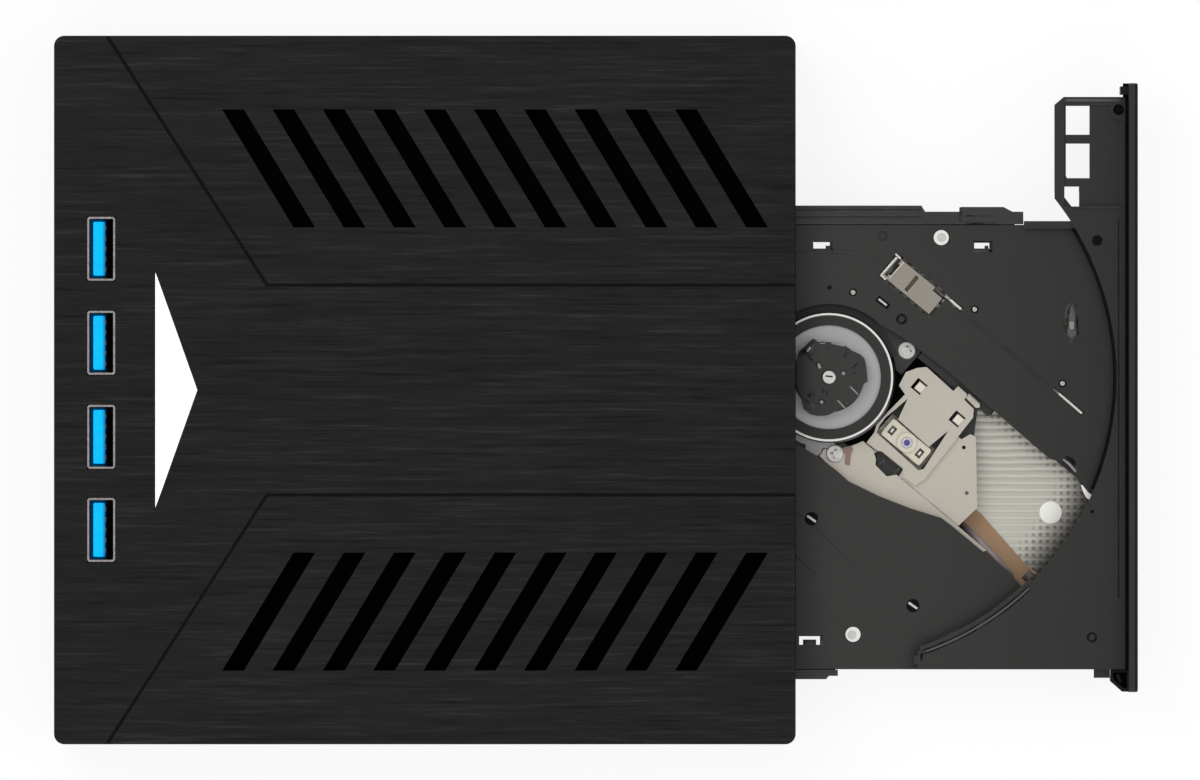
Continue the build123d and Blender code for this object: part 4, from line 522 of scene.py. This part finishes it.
def slab(name, outline, low, high, material, body, pockets=(), depth=0.3, edge=0.04, spot=at):
    """A flat piece with this outline and height range, and pockets sunk in its top, in millimetres."""
    form = bmesh.new()
    top_edges = []
    for loop in (outline, *pockets):
        floor_height = low if loop is outline else high - depth
        top = [form.verts.new(spot(x, y, high)) for x, y in loop]
        bottom = [form.verts.new(spot(x, y, floor_height)) for x, y in loop]
        for here in range(len(loop)):
            after = (here + 1) % len(loop)
            form.faces.new((top[here], top[after], bottom[after], bottom[here]))
            top_edges.append(form.edges.get((top[here], top[after])))
        form.faces.new(bottom)
    bmesh.ops.triangle_fill(form, edges=top_edges, use_beauty=True)
    return shown(name, form, material, body, edge)


def several(name, outlines, low, high, material, body, edge=0.02, spot=at):
    """One piece from several small flat parts with these outlines and one height range, in millimetres."""
    form = bmesh.new()
    for outline in outlines:
        bottom = [form.verts.new(spot(x, y, low)) for x, y in outline]
        top = [form.verts.new(spot(x, y, high)) for x, y in outline]
        for here in range(len(outline)):
            after = (here + 1) % len(outline)
            form.faces.new((bottom[here], bottom[after], top[after], top[here]))
        form.faces.new(bottom)
        form.faces.new(top)
    return shown(name, form, material, body, edge)


def turned(name, profile, centre, material, body, steps=48, edge=0.03, spot=at):
    """A round piece from (radius, height) pairs in millimetres, about an upright line."""
    form = bmesh.new()
    rings = []
    for radius, height in profile:
        ring = [form.verts.new(spot(x, y, height)) for x, y in circle(centre[0], centre[1], radius, steps)]
        rings.append(ring)
    for lower, upper in zip(rings, rings[1:]):
        for here in range(steps):
            after = (here + 1) % steps
            form.faces.new((lower[here], lower[after], upper[after], upper[here]))
    form.faces.new(rings[0])
    form.faces.new(rings[-1])
    return shown(name, form, material, body, edge)


web_light = finish("light webs", (0.5, 0.49, 0.47, 1.0), 0.4, drift=0.06)
floor_top = 12.2
for number, (x, y) in enumerate(((116.5, 17.1), (135.1, 1.4), (90.7, 20.7))):
    turned(f"tray_pin_{number + 1}", ((0.55, 11.3), (0.55, 12.0), (0.3, 12.15)), (x, y), pin_steel, "tray")
for number, (x, y) in enumerate(((81.9, -27.3), (103.4, -45.7))):
    turned(f"rivet_shade_{number + 1}", ((1.45, 12.0), (1.45, 12.22)), (x, y), painted_shade_black, "tray", edge=0.01)
    slab(f"rivet_web_{number + 1}", bar(x, y, 2.3, 0.5, -35.0), 12.1, 12.35, web_light, "tray", edge=0.1)
slab("floor_peg_shade", bar(97.1, 18.5, 3.2, 1.4, -38.0), 12.0, 12.22, painted_shade_black, "tray", edge=0.02)
slab("floor_peg", bar(97.0, 18.6, 2.2, 0.45, -38.0), 12.1, 12.35, web_light, "tray", edge=0.1)
# painted shade in the floor's notch, and a painted highlight along its edge
slab("floor_notch_shade", ((135.6, -14.0), (138.2, -14.4), (138.2, -16.7), (137.4, -17.0), (136.6, -15.4)),
     floor_top, floor_top + 0.06, painted_shade_black, "tray", edge=0.02)
slab("floor_notch_highlight", ((135.1, -14.75), (135.4, -14.6), (136.8, -15.6), (138.1, -17.2), (137.8, -17.5), (136.4, -15.95)),
     floor_top, floor_top + 0.1, highlight_pale, "tray", edge=0.03)
# painted shade in the gap by the wall, with a painted highlight over it
slab("gap_shade", bar(142.6, -13.0, 2.0, 1.4, 40.0), 11.3, 11.5, painted_shade_black, "tray", edge=0.02)
slab("gap_highlight", bar(142.6, -13.0, 1.2, 0.5, 40.0), 11.5, 12.1, highlight_pale, "tray", edge=0.08)
# soft shade round the floor slots, beside the tabs left standing in them
several("slot_shades", [bar(*values) for values in (
    (118.2, 29.45, 4.0, 0.45), (120.0, 30.4, 0.5, 2.2), (118.1, 31.45, 3.8, 0.25), (84.3, 29.45, 3.8, 0.45),
    (86.2, 30.4, 0.5, 2.2), (84.2, 31.45, 3.4, 0.25), (81.5, -53.55, 2.6, 0.9), (84.15, -53.1, 0.5, 2.3))], floor_top, floor_top + 0.03, painted_shade_black, "tray", edge=0.01)


def arc(x, y, radius, width, start, end, steps=36):
    """The outline of a band along part of a circle, in millimetres and degrees."""
    turns = [math.radians(start + (end - start) * step / steps) for step in range(steps + 1)]
    outer = [(x + (radius + width / 2) * math.cos(turn), y + (radius + width / 2) * math.sin(turn)) for turn in turns]
    inner = [(x + (radius - width / 2) * math.cos(turn), y + (radius - width / 2) * math.sin(turn)) for turn in turns]
    return outer + inner[::-1]


# painted shade on both sides of the ridge along the recess, a painted highlight along the ridge, and a painted
# highlight on the arm's bevel
tray_highlight_grey = finish("tray trim", (0.075, 0.074, 0.07, 1.0), 0.45, worn_and_sheen=(0.13, 0.13, 0.125, 1.0), Specular_IOR_Level=0.25)
rim_height = 14.2
several("ridge_shades", [arc(85.6, 2.7, 61.2, 0.25, -71.0, -46.5), arc(85.6, 2.7, 62.0, 0.3, -71.0, -46.5),
                         bar(105.2, -56.5, 0.6, 1.6, -15.0)], rim_height - 0.2, rim_height + 0.03, painted_shade_black, "tray", edge=0.01)
several("ridge_highlight", [arc(85.6, 2.7, 61.6, 0.4, -70.5, -46.5)], rim_height - 0.2, rim_height + 0.12, tray_highlight_grey, "tray", edge=0.08)
several("arm_bevel_highlight", [bar(141.5, 61.4, 11.4, 0.5)], rim_height - 0.1, rim_height + 0.05, tray_highlight_grey, "tray", edge=0.05)

# painted shade in the creases of the upper rail's sprung clip
clip_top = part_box("rail_clip")[1].z / mm
several("clip_crease_shades", [bar(113.45, 37.2, 3.0, 0.45, 90.0), bar(118.2, 35.3, 7.5, 0.25), bar(118.0, 36.9, 7.0, 0.25)],
        clip_top - 0.02, clip_top + 0.02, painted_shade_black, "upper_rail", edge=0.01)
several("lever_shades", [[(137.0, 18.8), (135.9, 17.6), (135.3, 14.4), (135.5, 11.8), (136.9, 9.9), (138.6, 11.9), (138.3, 12.1),
                          (136.9, 10.6), (135.9, 12.0), (135.7, 14.3), (136.3, 17.3), (137.2, 18.4)],
                         [(137.2, 18.4), (137.9, 18.7), (138.3, 15.0), (138.6, 12.0), (138.2, 12.0), (137.9, 15.0), (137.5, 18.1)]],
        floor_top, floor_top + 0.03, painted_shade_black, "tray", edge=0.01)
drop_white = finish("bright drop", (0.75, 0.74, 0.71, 1.0), 0.3, drift=0.05, grain=0.05)
slab("gap_stud", ((138.9, -20.0), (139.4, -20.2), (140.4, -21.5), (141.3, -22.2), (141.5, -23.0), (140.9, -23.4),
                  (140.1, -22.8), (139.4, -21.4)), 11.6, 12.4, drop_white, "tray", edge=0.15)
turned("rim_hole_shade", ((1.1, 13.6), (1.1, 14.3)), (142.45, 31.65), painted_shade_black, "tray", edge=0.02)
turned("arm_hole_shade", ((1.12, 13.6), (1.12, 13.7)), (147.0, 59.4), painted_shade_black, "tray", edge=0.02)

# Bezel: a satin black front plate with a push button and a small lamp window. It
# hooks over the tray's front strip at both ends.
bezel_black, bezel_tree, bezel_shader = new_material("satin bezel", Specular_IOR_Level=0.15)
bezel_height = add(bezel_tree, "SeparateXYZ", inputs={
    "Vector": add(bezel_tree, "TexCoord").outputs["Object"]}).outputs["X"]
bezel_inside = ranged(bezel_tree, bezel_height, 112.7 * mm, 112.95 * mm)
bezel_outside = ranged(bezel_tree, bezel_height, 114.25 * mm, 114.0 * mm)
bezel_strip = computed(bezel_tree, "MULTIPLY", bezel_inside, bezel_outside)
bezel_ground = blended(bezel_tree, bezel_strip, (0.004, 0.004, 0.004, 1.0), (0.026, 0.026, 0.0248, 1.0))
bezel_body = place(bezel_tree, surface_group, Colour=bezel_ground, Roughness=0.38, Drift=0.1, Grain=0.1)
bezel_rim = place(bezel_tree, edge_wear_and_sheen_group, Radius=0.3 * mm, Wear=0.15)
bezel_shade = blended(bezel_tree, bezel_rim.outputs["Mask"], bezel_body.outputs["Colour"], (0.08, 0.08, 0.078, 1.0))
bezel_tree.links.new(bezel_shade, bezel_shader.inputs["Base Color"])
bezel_tree.links.new(bezel_body.outputs["Roughness"], bezel_shader.inputs["Roughness"])
bump(bezel_tree, bezel_shader, bezel_body.outputs["Height"], 0.005 * mm, bezel_rim.outputs["Normal"])
button_black = finish("button plastic", (0.016, 0.0158, 0.015, 1.0), 0.3, worn_and_sheen=(0.09, 0.09, 0.09, 1.0))
dress(bezel_black, "bezel")
dress(button_black, "eject_button")

lamp_amber = finish("lamp window", (0.35, 0.14, 0.02, 1.0), 0.15, Coat_Weight=0.6)
lamp_form = bmesh.new()
lamp_rings = []
for radius, x in ((1.25, 150.85), (1.25, 150.99), (0.9, 151.02), (0.35, 151.03)):
    lamp_rings.append([lamp_form.verts.new(at(x, 25.0 + 1.8 * a, 9.9 + b)) for a, b in circle(0.0, 0.0, radius * 0.7)])
for lower, upper in zip(lamp_rings, lamp_rings[1:]):
    for here in range(len(lower)):
        after = (here + 1) % len(lower)
        lamp_form.faces.new((lower[here], lower[after], upper[after], upper[here]))
lamp_form.faces.new(lamp_rings[0])
lamp_form.faces.new(lamp_rings[-1])
shown("bezel_lamp", lamp_form, lamp_amber, "tray", 0.02)

# painted shade: black blocks in the gaps beside the bezel's hooks at both ends
several("bezel_gap_shades", [((147.9, 61.6), (147.9, 65.0), (149.2, 65.0), (149.2, 61.6)),
                       ((145.3, -59.1), (149.2, -59.1), (149.2, -61.6), (147.4, -61.6), (145.3, -60.9))],
        11.0, 12.4, painted_shade_black, "tray", edge=0.05)

# Bottom shield: a thin bright sheet with pressed ribs, glued and riveted under the
# tray. A white paper dot is stuck to it.
shield_bright, shield_tree, shield_shader = new_material("ribbed bright sheet", Metallic=0.7)
shield_spot = add(shield_tree, "TexCoord").outputs["Object"]
shield_place = add(shield_tree, "SeparateXYZ", inputs={"Vector": shield_spot})
shield_sway = add(shield_tree, "TexNoise", inputs={"Vector": shield_spot, "Scale": 160.0, "Detail": 1.0}).outputs["Fac"]


def ribs(tree, value, sway, pitch):
    """Soft ribs across one axis, a little uneven, from 0 to 1."""
    turns = computed(tree, "MULTIPLY", value, math.tau / (pitch * mm))
    waved = computed(tree, "SINE", computed(tree, "MULTIPLY_ADD", sway, 1.6, turns))
    return ranged(tree, waved, -1.0, 1.0)


shield_rows = ribs(shield_tree, shield_place.outputs["Y"], shield_sway, 1.47)
shield_columns = ribs(shield_tree, shield_place.outputs["X"], shield_sway, 1.47)
shield_from_spindle = add(shield_tree, "VectorMath", operation="DISTANCE", inputs={
    0: add(shield_tree, "VectorMath", operation="MULTIPLY", inputs={0: shield_spot, 1: (1.0, 1.0, 0.0)}).outputs[0],
    1: (49.35 * mm, 2.7 * mm, 0.0)}).outputs["Value"]
shield_edge = ranged(shield_tree, shield_from_spindle, 52.0 * mm, 55.5 * mm)
shield_slant = computed(shield_tree, "MULTIPLY_ADD", shield_place.outputs["X"], 0.643,
                        computed(shield_tree, "MULTIPLY", shield_place.outputs["Y"], 0.766))
shield_upper = ranged(shield_tree, shield_slant, 47.5 * mm, 50.5 * mm)
shield_zone = computed(shield_tree, "MAXIMUM", shield_edge, shield_upper)
shield_net = computed(shield_tree, "MULTIPLY", shield_rows, shield_columns)
shield_squares = computed(shield_tree, "MULTIPLY", shield_net, shield_zone)
# painted shade: the sheet darkens towards the recess's rim above it
shield_rim_shade = ranged(shield_tree, shield_from_spindle, 55.0 * mm, 60.5 * mm, 1.0, 0.15)
shield_calm = ranged(shield_tree, shield_place.outputs["Y"], -28.0 * mm, -15.0 * mm, 0.95, 0.74)
shield_line = blended(shield_tree, shield_rows, (1.0, 1.0, 1.0, 1.0), (0.0, 0.0, 0.0, 1.0))
shield_lines = add(shield_tree, "MapRange", inputs={
    "Value": shield_line, "From Min": 0.0, "From Max": 1.0, "To Min": shield_calm, "To Max": 1.05}).outputs["Result"]
shield_spots = ranged(shield_tree, shield_squares, 0.1, 0.9, 1.0, 0.42)
shield_tone = computed(shield_tree, "MULTIPLY", computed(shield_tree, "MULTIPLY", shield_lines, shield_spots), shield_rim_shade)
shield_body = place(shield_tree, surface_group, Colour=(0.62, 0.595, 0.53, 1.0), Roughness=0.4, Drift=0.04, Grain=0.04)
shield_lit = add(shield_tree, "VectorMath", operation="SCALE", inputs={
    0: shield_body.outputs["Colour"], "Scale": shield_tone}).outputs[0]
shield_tree.links.new(shield_lit, shield_shader.inputs["Base Color"])
shield_tree.links.new(shield_body.outputs["Roughness"], shield_shader.inputs["Roughness"])
bump(shield_tree, shield_shader, shield_rows, 0.02 * mm,
     place(shield_tree, edge_wear_and_sheen_group, Radius=0.1 * mm, Wear=0.0).outputs["Normal"])
dress(shield_bright, "bottom_shield")
paper_white = finish("paper dot", (0.92, 0.91, 0.86, 1.0), 0.7, drift=0.04, grain=0.08, wear_and_sheen=0.0)
shield_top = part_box("bottom_shield")[1].z / mm
turned("paper_dot", ((2.4, shield_top - 0.05), (2.4, shield_top + 0.12)), (132.7, -26.0), paper_white, "tray", edge=0.03)

# Traverse: a black coated frame on soft dampers, and a warm silver plate beside the
# pickup. Ground rods and a lead screw carry the pickup along its path.
frame_black = finish("black coated frame", (0.016, 0.016, 0.015, 1.0), 0.5, worn_and_sheen=(0.05, 0.05, 0.048, 1.0))
# the warm silver plate's pale edges are a painted highlight
plate_silver = finish("warm silver plate", (0.5, 0.465, 0.4, 1.0), 0.45, drift=0.06, grain=0.06,
                      worn_and_sheen=(0.85, 0.83, 0.76, 1.0), wear_and_sheen=1.0, edge=0.15, Metallic=0.6)
sled_cast = finish("cast sled", (0.012, 0.0115, 0.011, 1.0), 0.55, grain=0.3, relief=0.02)
rod_steel = brushed("ground steel", (0.42, 0.41, 0.39, 1.0), 0.25, (900.0, 900.0, 900.0), Metallic=1.0)
dress(frame_black, "traverse_frame")
# painted shade: a black sheet laid on the shield where the pickup's shade falls
slab("pickup_shade_sheet", ((-11.0, -16.0), (12.0, -16.0), (15.0, -8.0), (15.5, 9.0), (21.0, 15.0), (31.5, 15.8), (31.5, 18.0),
                      (-11.0, 18.0)), shield_top + 0.02, shield_top + 0.1, painted_shade_black, "tray", edge=0.02, spot=on_path)
dress(plate_silver, "traverse_plate", "pickup_plate", "pickup_cover")
dress(sled_cast, "pickup_sled")
stud_white = finish("bright stud", (0.72, 0.71, 0.69, 1.0), 0.4, drift=0.05, grain=0.05, wear_and_sheen=0.2)
screw_silver = finish("silver screw", (0.55, 0.54, 0.52, 1.0), 0.4, worn_and_sheen=(0.75, 0.74, 0.71, 1.0), Metallic=0.4)
dress(rod_steel, "guide_rods", "lead_screw")
dress(stud_white, "tray_studs")
stud_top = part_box("tray_studs")[1].z / mm
stud_grey = finish("stud dimple", (0.5, 0.5, 0.49, 1.0), 0.45, wear_and_sheen=0.2)
for number, (x, y) in enumerate(((109.5, 32.3), (90.5, -51.9))):
    turned(f"stud_dimple_{number + 1}", ((0.95, stud_top - 0.1), (0.95, stud_top + 0.03)), (x, y), stud_grey, "tray", edge=0.02)
dress(screw_silver, "traverse_screws")
for number, (x, y, top) in enumerate(((101.95, 8.24, 10.75), (87.4, -13.7, 11.2))):
    turned(f"screw_well_{number + 1}", ((0.95, top - 0.4), (0.95, top - 0.12), (0.7, top - 0.06)), (x, y), screw_silver,
           "tray")

slab("plate_seam", ((24.9, -6.57), (24.9, -6.48), (41.2, -6.48), (41.2, -6.57)), 10.1, 10.27, plate_silver, "tray",
     edge=0.01, spot=on_path)

# Pickup: a cast sled under a pressed silver cover. Two small prisms sit in its punched
# squares, and a film ribbon with a pale stripe leads away from it.
bright_sheet = finish("bright sheet", (0.66, 0.62, 0.54, 1.0), 0.4, Metallic=0.3)
for number, (u, n) in enumerate(((15.9, 10.8), (26.5, 10.7))):
    slab(f"pickup_prism_{number + 1}", bar(u + 0.3, n, 1.7, 1.7), 10.9, 11.26, bright_sheet, "pickup", edge=0.1,
         spot=on_path)
slab("pickup_flap", ((24.8, 15.3), (28.0, 15.0), (28.6, 15.6), (28.2, 16.4), (25.0, 16.5)), 10.0, 10.6,
     plate_silver, "pickup", spot=on_path)

# Spindle: a turned steel rotor with a soft ring, and a slick black hub with three
# sprung claws. A bright screw closes its middle.
motor_steel = finish("plated motor steel", (0.3, 0.3, 0.3, 1.0), 0.35, Metallic=1.0)
cup_steel, cup_tree, cup_shader = new_material("bearing cup steel", Metallic=0.5)
cup_spot = add(cup_tree, "TexCoord").outputs["Object"]
cup_place = add(cup_tree, "SeparateXYZ", inputs={"Vector": cup_spot})
cup_lobe = ranged(cup_tree, cup_place.outputs["Y"], -2.0 * mm, -4.0 * mm)
cup_ground = blended(cup_tree, cup_lobe, (0.02, 0.02, 0.019, 1.0), (0.3, 0.3, 0.295, 1.0))
cup_body = place(cup_tree, surface_group, Colour=cup_ground, Roughness=0.4, Drift=0.1, Grain=0.1)
cup_rim = place(cup_tree, edge_wear_and_sheen_group, Radius=0.15 * mm, Wear=0.6)
cup_shade = blended(cup_tree, cup_rim.outputs["Mask"], cup_body.outputs["Colour"], (0.4, 0.4, 0.39, 1.0))
cup_tree.links.new(cup_shade, cup_shader.inputs["Base Color"])
cup_tree.links.new(cup_body.outputs["Roughness"], cup_shader.inputs["Roughness"])
bump(cup_tree, cup_shader, cup_body.outputs["Height"], 0.004 * mm, cup_rim.outputs["Normal"])
rotor_steel, rotor_tree, rotor_shader = new_material("turned steel", Metallic=0.5)
rotor_spot = add(rotor_tree, "TexCoord").outputs["Object"]
rotor_reach = add(rotor_tree, "VectorMath", operation="DISTANCE", inputs={
    0: add(rotor_tree, "VectorMath", operation="MULTIPLY", inputs={0: rotor_spot, 1: (1.0, 1.0, 0.0)}).outputs[0],
    1: (49.35 * mm, 2.7 * mm, 0.0)}).outputs["Value"]
rotor_rings = ranged(rotor_tree, computed(rotor_tree, "SINE", computed(
    rotor_tree, "MULTIPLY", rotor_reach, math.tau / (0.12 * mm))), -1.0, 1.0)
rotor_lip = ranged(rotor_tree, rotor_reach, 13.0 * mm, 13.1 * mm)
rotor_ground = blended(rotor_tree, rotor_lip, (0.4, 0.405, 0.4, 1.0), (0.8, 0.79, 0.76, 1.0))
rotor_body = place(rotor_tree, surface_group, Colour=rotor_ground, Roughness=0.4, Drift=0.08, Grain=0.04)
rotor_rim = place(rotor_tree, edge_wear_and_sheen_group, Radius=0.1 * mm, Wear=0.5)
rotor_shade = blended(rotor_tree, rotor_rim.outputs["Mask"], rotor_body.outputs["Colour"], (0.85, 0.84, 0.82, 1.0))
rotor_tree.links.new(rotor_shade, rotor_shader.inputs["Base Color"])
rotor_tree.links.new(rotor_body.outputs["Roughness"], rotor_shader.inputs["Roughness"])
bump(rotor_tree, rotor_shader, rotor_rings, 0.002 * mm, rotor_rim.outputs["Normal"])
pad_rubber = finish("soft ring", (0.026, 0.0255, 0.024, 1.0), 0.6, Specular_IOR_Level=0.2)
hub_black = finish("slick hub plastic", (0.018, 0.0178, 0.017, 1.0), 0.4, worn_and_sheen=(0.08, 0.08, 0.078, 1.0),
                   wear_and_sheen=0.9, edge=0.2, Specular_IOR_Level=0.25)
winding = finish("enamelled wire", (0.36, 0.19, 0.12, 1.0), 0.4, Metallic=0.4)
dress(motor_steel, "stepper_motor")
dress(cup_steel, "spindle_base")
dress(rotor_steel, "spindle_rotor")
dress(pad_rubber, "turntable_pad")
dress(hub_black, "clamp_hub", "clamp_claw_1", "clamp_claw_2", "clamp_claw_3")
dress(winding, "stator")

hub_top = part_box("clamp_hub")[1].z / mm
hub_screw_steel = finish("hub screw steel", (0.62, 0.6, 0.57, 1.0), 0.35, Metallic=0.5)
slab("hub_screw", circle(85.6, 2.7, 1.35), hub_top - 0.3, hub_top + 0.25, hub_screw_steel, "spindle",
     pockets=(bar(85.6, 2.9, 1.6, 0.35, -8.0),), depth=0.2, edge=0.1)
face_low, face_high = hub_top - 0.08, hub_top + 0.08
hub_face_black = finish("hub face plastic", (0.026, 0.0255, 0.024, 1.0), 0.5, worn_and_sheen=(0.16, 0.158, 0.15, 1.0),
                        wear_and_sheen=1.0, edge=0.12, Specular_IOR_Level=0.25)
slab("hub_face", ((82.4, 10.9), (83.3, 10.2), (83.7, 10.2), (84.7, 10.3), (85.3, 9.8), (85.9, 10.2), (89.0, 9.5), (89.5, 8.7),
                  (90.6, 8.3), (92.2, 7.6), (93.1, 6.7), (93.5, 5.0), (93.7, 3.1), (93.8, 1.8), (93.0, 1.3), (92.6, 0.2),
                  (91.9, -0.8), (91.1, -1.9), (89.0, -3.7), (87.9, -4.1), (86.6, -4.7), (85.8, -5.2), (84.7, -5.5),
                  (83.2, -5.5), (81.6, -5.1), (80.2, -4.0), (80.0, -3.0), (79.6, -1.5), (79.1, -0.3), (78.7, 1.0),
                  (78.6, 3.1), (78.7, 6.3), (79.3, 8.2), (80.8, 9.6), (81.8, 10.6)),
     face_low, face_high, hub_face_black, "spindle", edge=0.06)
# painted shade in the hub face's creases, round its domes and round the screw, with painted highlights on its ridges
# and dome tops
hub_painted_shades = [bar(*values) for values in (
    (85.34, 8.83, 2.16, 0.42, -101.0), (89.14, 7.7, 1.75, 0.38, -100.0), (91.23, 5.25, 2.25, 0.36, 45.0),
    (91.01, 3.67, 1.07, 0.37, 23.0), (81.7, 6.58, 1.7, 0.37, -39.0), (80.08, 3.33, 1.54, 0.34, 15.0),
    (84.26, -0.11, 1.21, 0.24, -99.0), (85.08, -0.64, 0.94, 0.42, -98.0), (81.1, -0.41, 2.01, 0.32, 9.0),
    (82.39, -0.84, 1.3, 0.26, -63.0), (83.49, 5.06, 1.7, 1.2, -72.0), (91.5, 0.5, 1.6, 0.36, -45.0),
    (89.0, -2.4, 1.4, 0.3, -47.0))]
hub_painted_shades += [circle(88.7, 3.5, 0.75, 20), circle(84.0, -2.6, 0.75, 20), circle(81.6, -1.2, 0.5, 20),
              circle(85.6, 2.7, 1.7, 32),
              [(79.3, 7.9), (80.8, 9.3), (81.9, 10.4), (82.4, 10.6), (83.0, 10.1), (82.6, 9.5), (82.2, 8.7),
               (82.4, 7.6), (81.7, 7.1), (81.0, 7.4), (79.2, 7.1)],
              [(79.4, -0.8), (79.7, -0.7), (81.0, -2.2), (82.9, -3.7), (82.6, -4.1), (80.8, -2.6)]]
several("hub_painted_shades", hub_painted_shades, face_high - 0.02, face_high + 0.02, painted_shade_black, "spindle", edge=0.01)
hub_painted_highlights = [bar(*values) for values in (
    (90.9, -0.11, 2.43, 0.3, -45.0), (88.19, -3.02, 2.34, 0.3, -47.0), (87.5, 9.65, 3.0, 0.35, -12.0),
    (83.5, 5.1, 1.1, 0.6, -72.0), (81.3, 8.6, 1.2, 0.5, 50.0), (84.2, 9.9, 1.2, 0.2, 4.0))]
hub_painted_highlights += [circle(88.65, 3.55, 0.36, 16), circle(84.0, -2.55, 0.36, 16)]
several("hub_painted_highlights", hub_painted_highlights, face_high, face_high + 0.06, highlight_pale, "spindle", edge=0.02)

# Lens: a small coated lens in a pale holder that floats on four wires. Its clear
# middle looks dark violet inside a pale rim.
holder_pale = finish("pale holder", (0.55, 0.51, 0.42, 1.0), 0.5, worn_and_sheen=(0.7, 0.68, 0.62, 1.0))
lens_blue, lens_tree, lens_shader = new_material("coated lens", Roughness=0.15, Coat_Weight=0.3)
lens_spot = add(lens_tree, "VectorMath", operation="MULTIPLY", inputs={
    0: add(lens_tree, "TexCoord").outputs["Object"], 1: (1.0, 1.0, 0.0)}).outputs[0]
lens_low, lens_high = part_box("lens")
lens_middle = (lens_low + lens_high) / 2
lens_radius = add(lens_tree, "VectorMath", operation="DISTANCE", inputs={
    0: lens_spot, 1: (lens_middle.x, lens_middle.y, 0.0)}).outputs["Value"]
lens_ring = ranged(lens_tree, lens_radius, 0.62 * mm, 0.82 * mm)
lens_mottle = add(lens_tree, "TexNoise", inputs={"Vector": lens_spot, "Scale": 1500.0}).outputs["Fac"]
lens_core = blended(lens_tree, lens_mottle, (0.02, 0.012, 0.06, 1.0), (0.12, 0.11, 0.3, 1.0))
lens_shade = blended(lens_tree, lens_ring, lens_core, (0.6, 0.57, 0.68, 1.0))
lens_tree.links.new(lens_shade, lens_shader.inputs["Base Color"])
dress(holder_pale, "lens_holder")
holder_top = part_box("lens_holder")[1].z / mm
for number, u in enumerate((17.55, 25.1)):
    slab(f"holder_magnet_{number + 1}", bar(u, 0.0, 0.5, 0.9), holder_top - 1.2, holder_top - 0.5, bright_sheet,
         "lens_carrier", edge=0.05, spot=on_path)
dress(lens_blue, "lens")

# Ribbons: brown film to the pickup and a white flat cable that rolls under the tray
# to the board at the back.
film_brown = finish("brown film", (0.33, 0.2, 0.105, 1.0), 0.4, worn_and_sheen=(0.45, 0.35, 0.25, 1.0))
film_stripe = finish("film stripe", (0.4, 0.31, 0.3, 1.0), 0.4)
cable_white = finish("white flat cable", (0.6, 0.6, 0.6, 1.0), 0.5)
dress(film_brown, "pickup_ribbon")
dress(cable_white, "tray_ribbon")
# a painted shadow: a dark brown patch at the end of the pickup ribbon
ribbon_shadow_brown = finish("ribbon end", (0.05, 0.025, 0.018, 1.0), 0.5)
ribbon_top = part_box("pickup_ribbon")[1].z / mm
slab("ribbon_end_shadow", bar(128.5, -40.0, 3.2, 2.4, -40.0), ribbon_top - 0.02, ribbon_top + 0.015, ribbon_shadow_brown, "tray", edge=0.02)
slab("ribbon_stripe", ((41.4, -6.8), (41.4, -5.0), (48.1, -5.3), (55.7, -6.4), (57.2, -7.1), (57.2, -7.7), (48.0, -7.7)),
     ribbon_top - 0.02, ribbon_top + 0.012, film_stripe, "tray", edge=0.01, spot=on_path)

# Latch: a small solenoid with a taped coil, its steel link, a hook and a lever. It
# holds the tray shut on a post of the case.
coil_brown = finish("taped coil", (0.14, 0.09, 0.05, 1.0), 0.5)
latch_steel = finish("pressed steel", (0.3, 0.29, 0.27, 1.0), 0.4, Metallic=0.7)
# the solenoid sheet's pale edges are a painted highlight
solenoid_sheet = finish("solenoid sheet", (0.3, 0.275, 0.235, 1.0), 0.45, worn_and_sheen=(0.6, 0.58, 0.52, 1.0),
                        wear_and_sheen=1.0, edge=0.15, Metallic=0.6)
spring_copper = finish("tinned copper", (0.25, 0.17, 0.14, 1.0), 0.4, Metallic=0.5)
dress(coil_brown, "solenoid_coil")
dress(solenoid_sheet, "solenoid_frame")
link_bright = finish("bright link", (0.62, 0.61, 0.57, 1.0), 0.4, worn_and_sheen=(0.75, 0.73, 0.68, 1.0), Metallic=0.3)
dress(link_bright, "latch_link")
dress(latch_steel, "latch_hook", "release_lever")
dress(spring_copper, "contact_spring")
slab("spring_patch", bar(90.2, -15.4, 2.7, 3.4, -40.0), shield_top, shield_top + 0.05, spring_copper, "tray", edge=0.02)
turned("spring_dot", ((0.5, shield_top), (0.5, shield_top + 0.1)), (90.2, -12.2), painted_shade_black, "tray", steps=24, edge=0.02)
solenoid_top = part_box("solenoid_frame")[1].z / mm
# painted shade in the solenoid's slot, and painted highlights along its rims
several("solenoid_slot_shade", [bar(99.15, 26.0, 4.6, 0.75, 48.6)], solenoid_top, solenoid_top + 0.03, painted_shade_black, "tray")
several("solenoid_rim_highlights", [bar(*values) for values in (
    (98.35, 26.3, 5.0, 0.4, 48.6), (99.95, 25.4, 4.6, 0.25, 48.6), (100.25, 28.35, 1.5, 0.4, -41.4),
    (97.1, 23.9, 1.5, 0.4, -41.4))], solenoid_top - 0.02, solenoid_top + 0.06, link_bright, "tray", edge=0.04)
slab("link_slit_bar", bar(136.25, -2.45, 10.0, 0.55, -40.8), 10.4, 10.6, link_bright, "latch_link", edge=0.05)
slab("link_solenoid_bar", bar(112.0, 18.5, 4.2, 0.5, -40.8), 10.4, 10.6, link_bright, "latch_link", edge=0.05)
turned("solenoid_ball", ((0.35, 10.6), (0.6, 10.8), (0.6, 11.2), (0.35, 11.45)), (109.9, 18.7), pin_steel, "latch_link",
       steps=24)
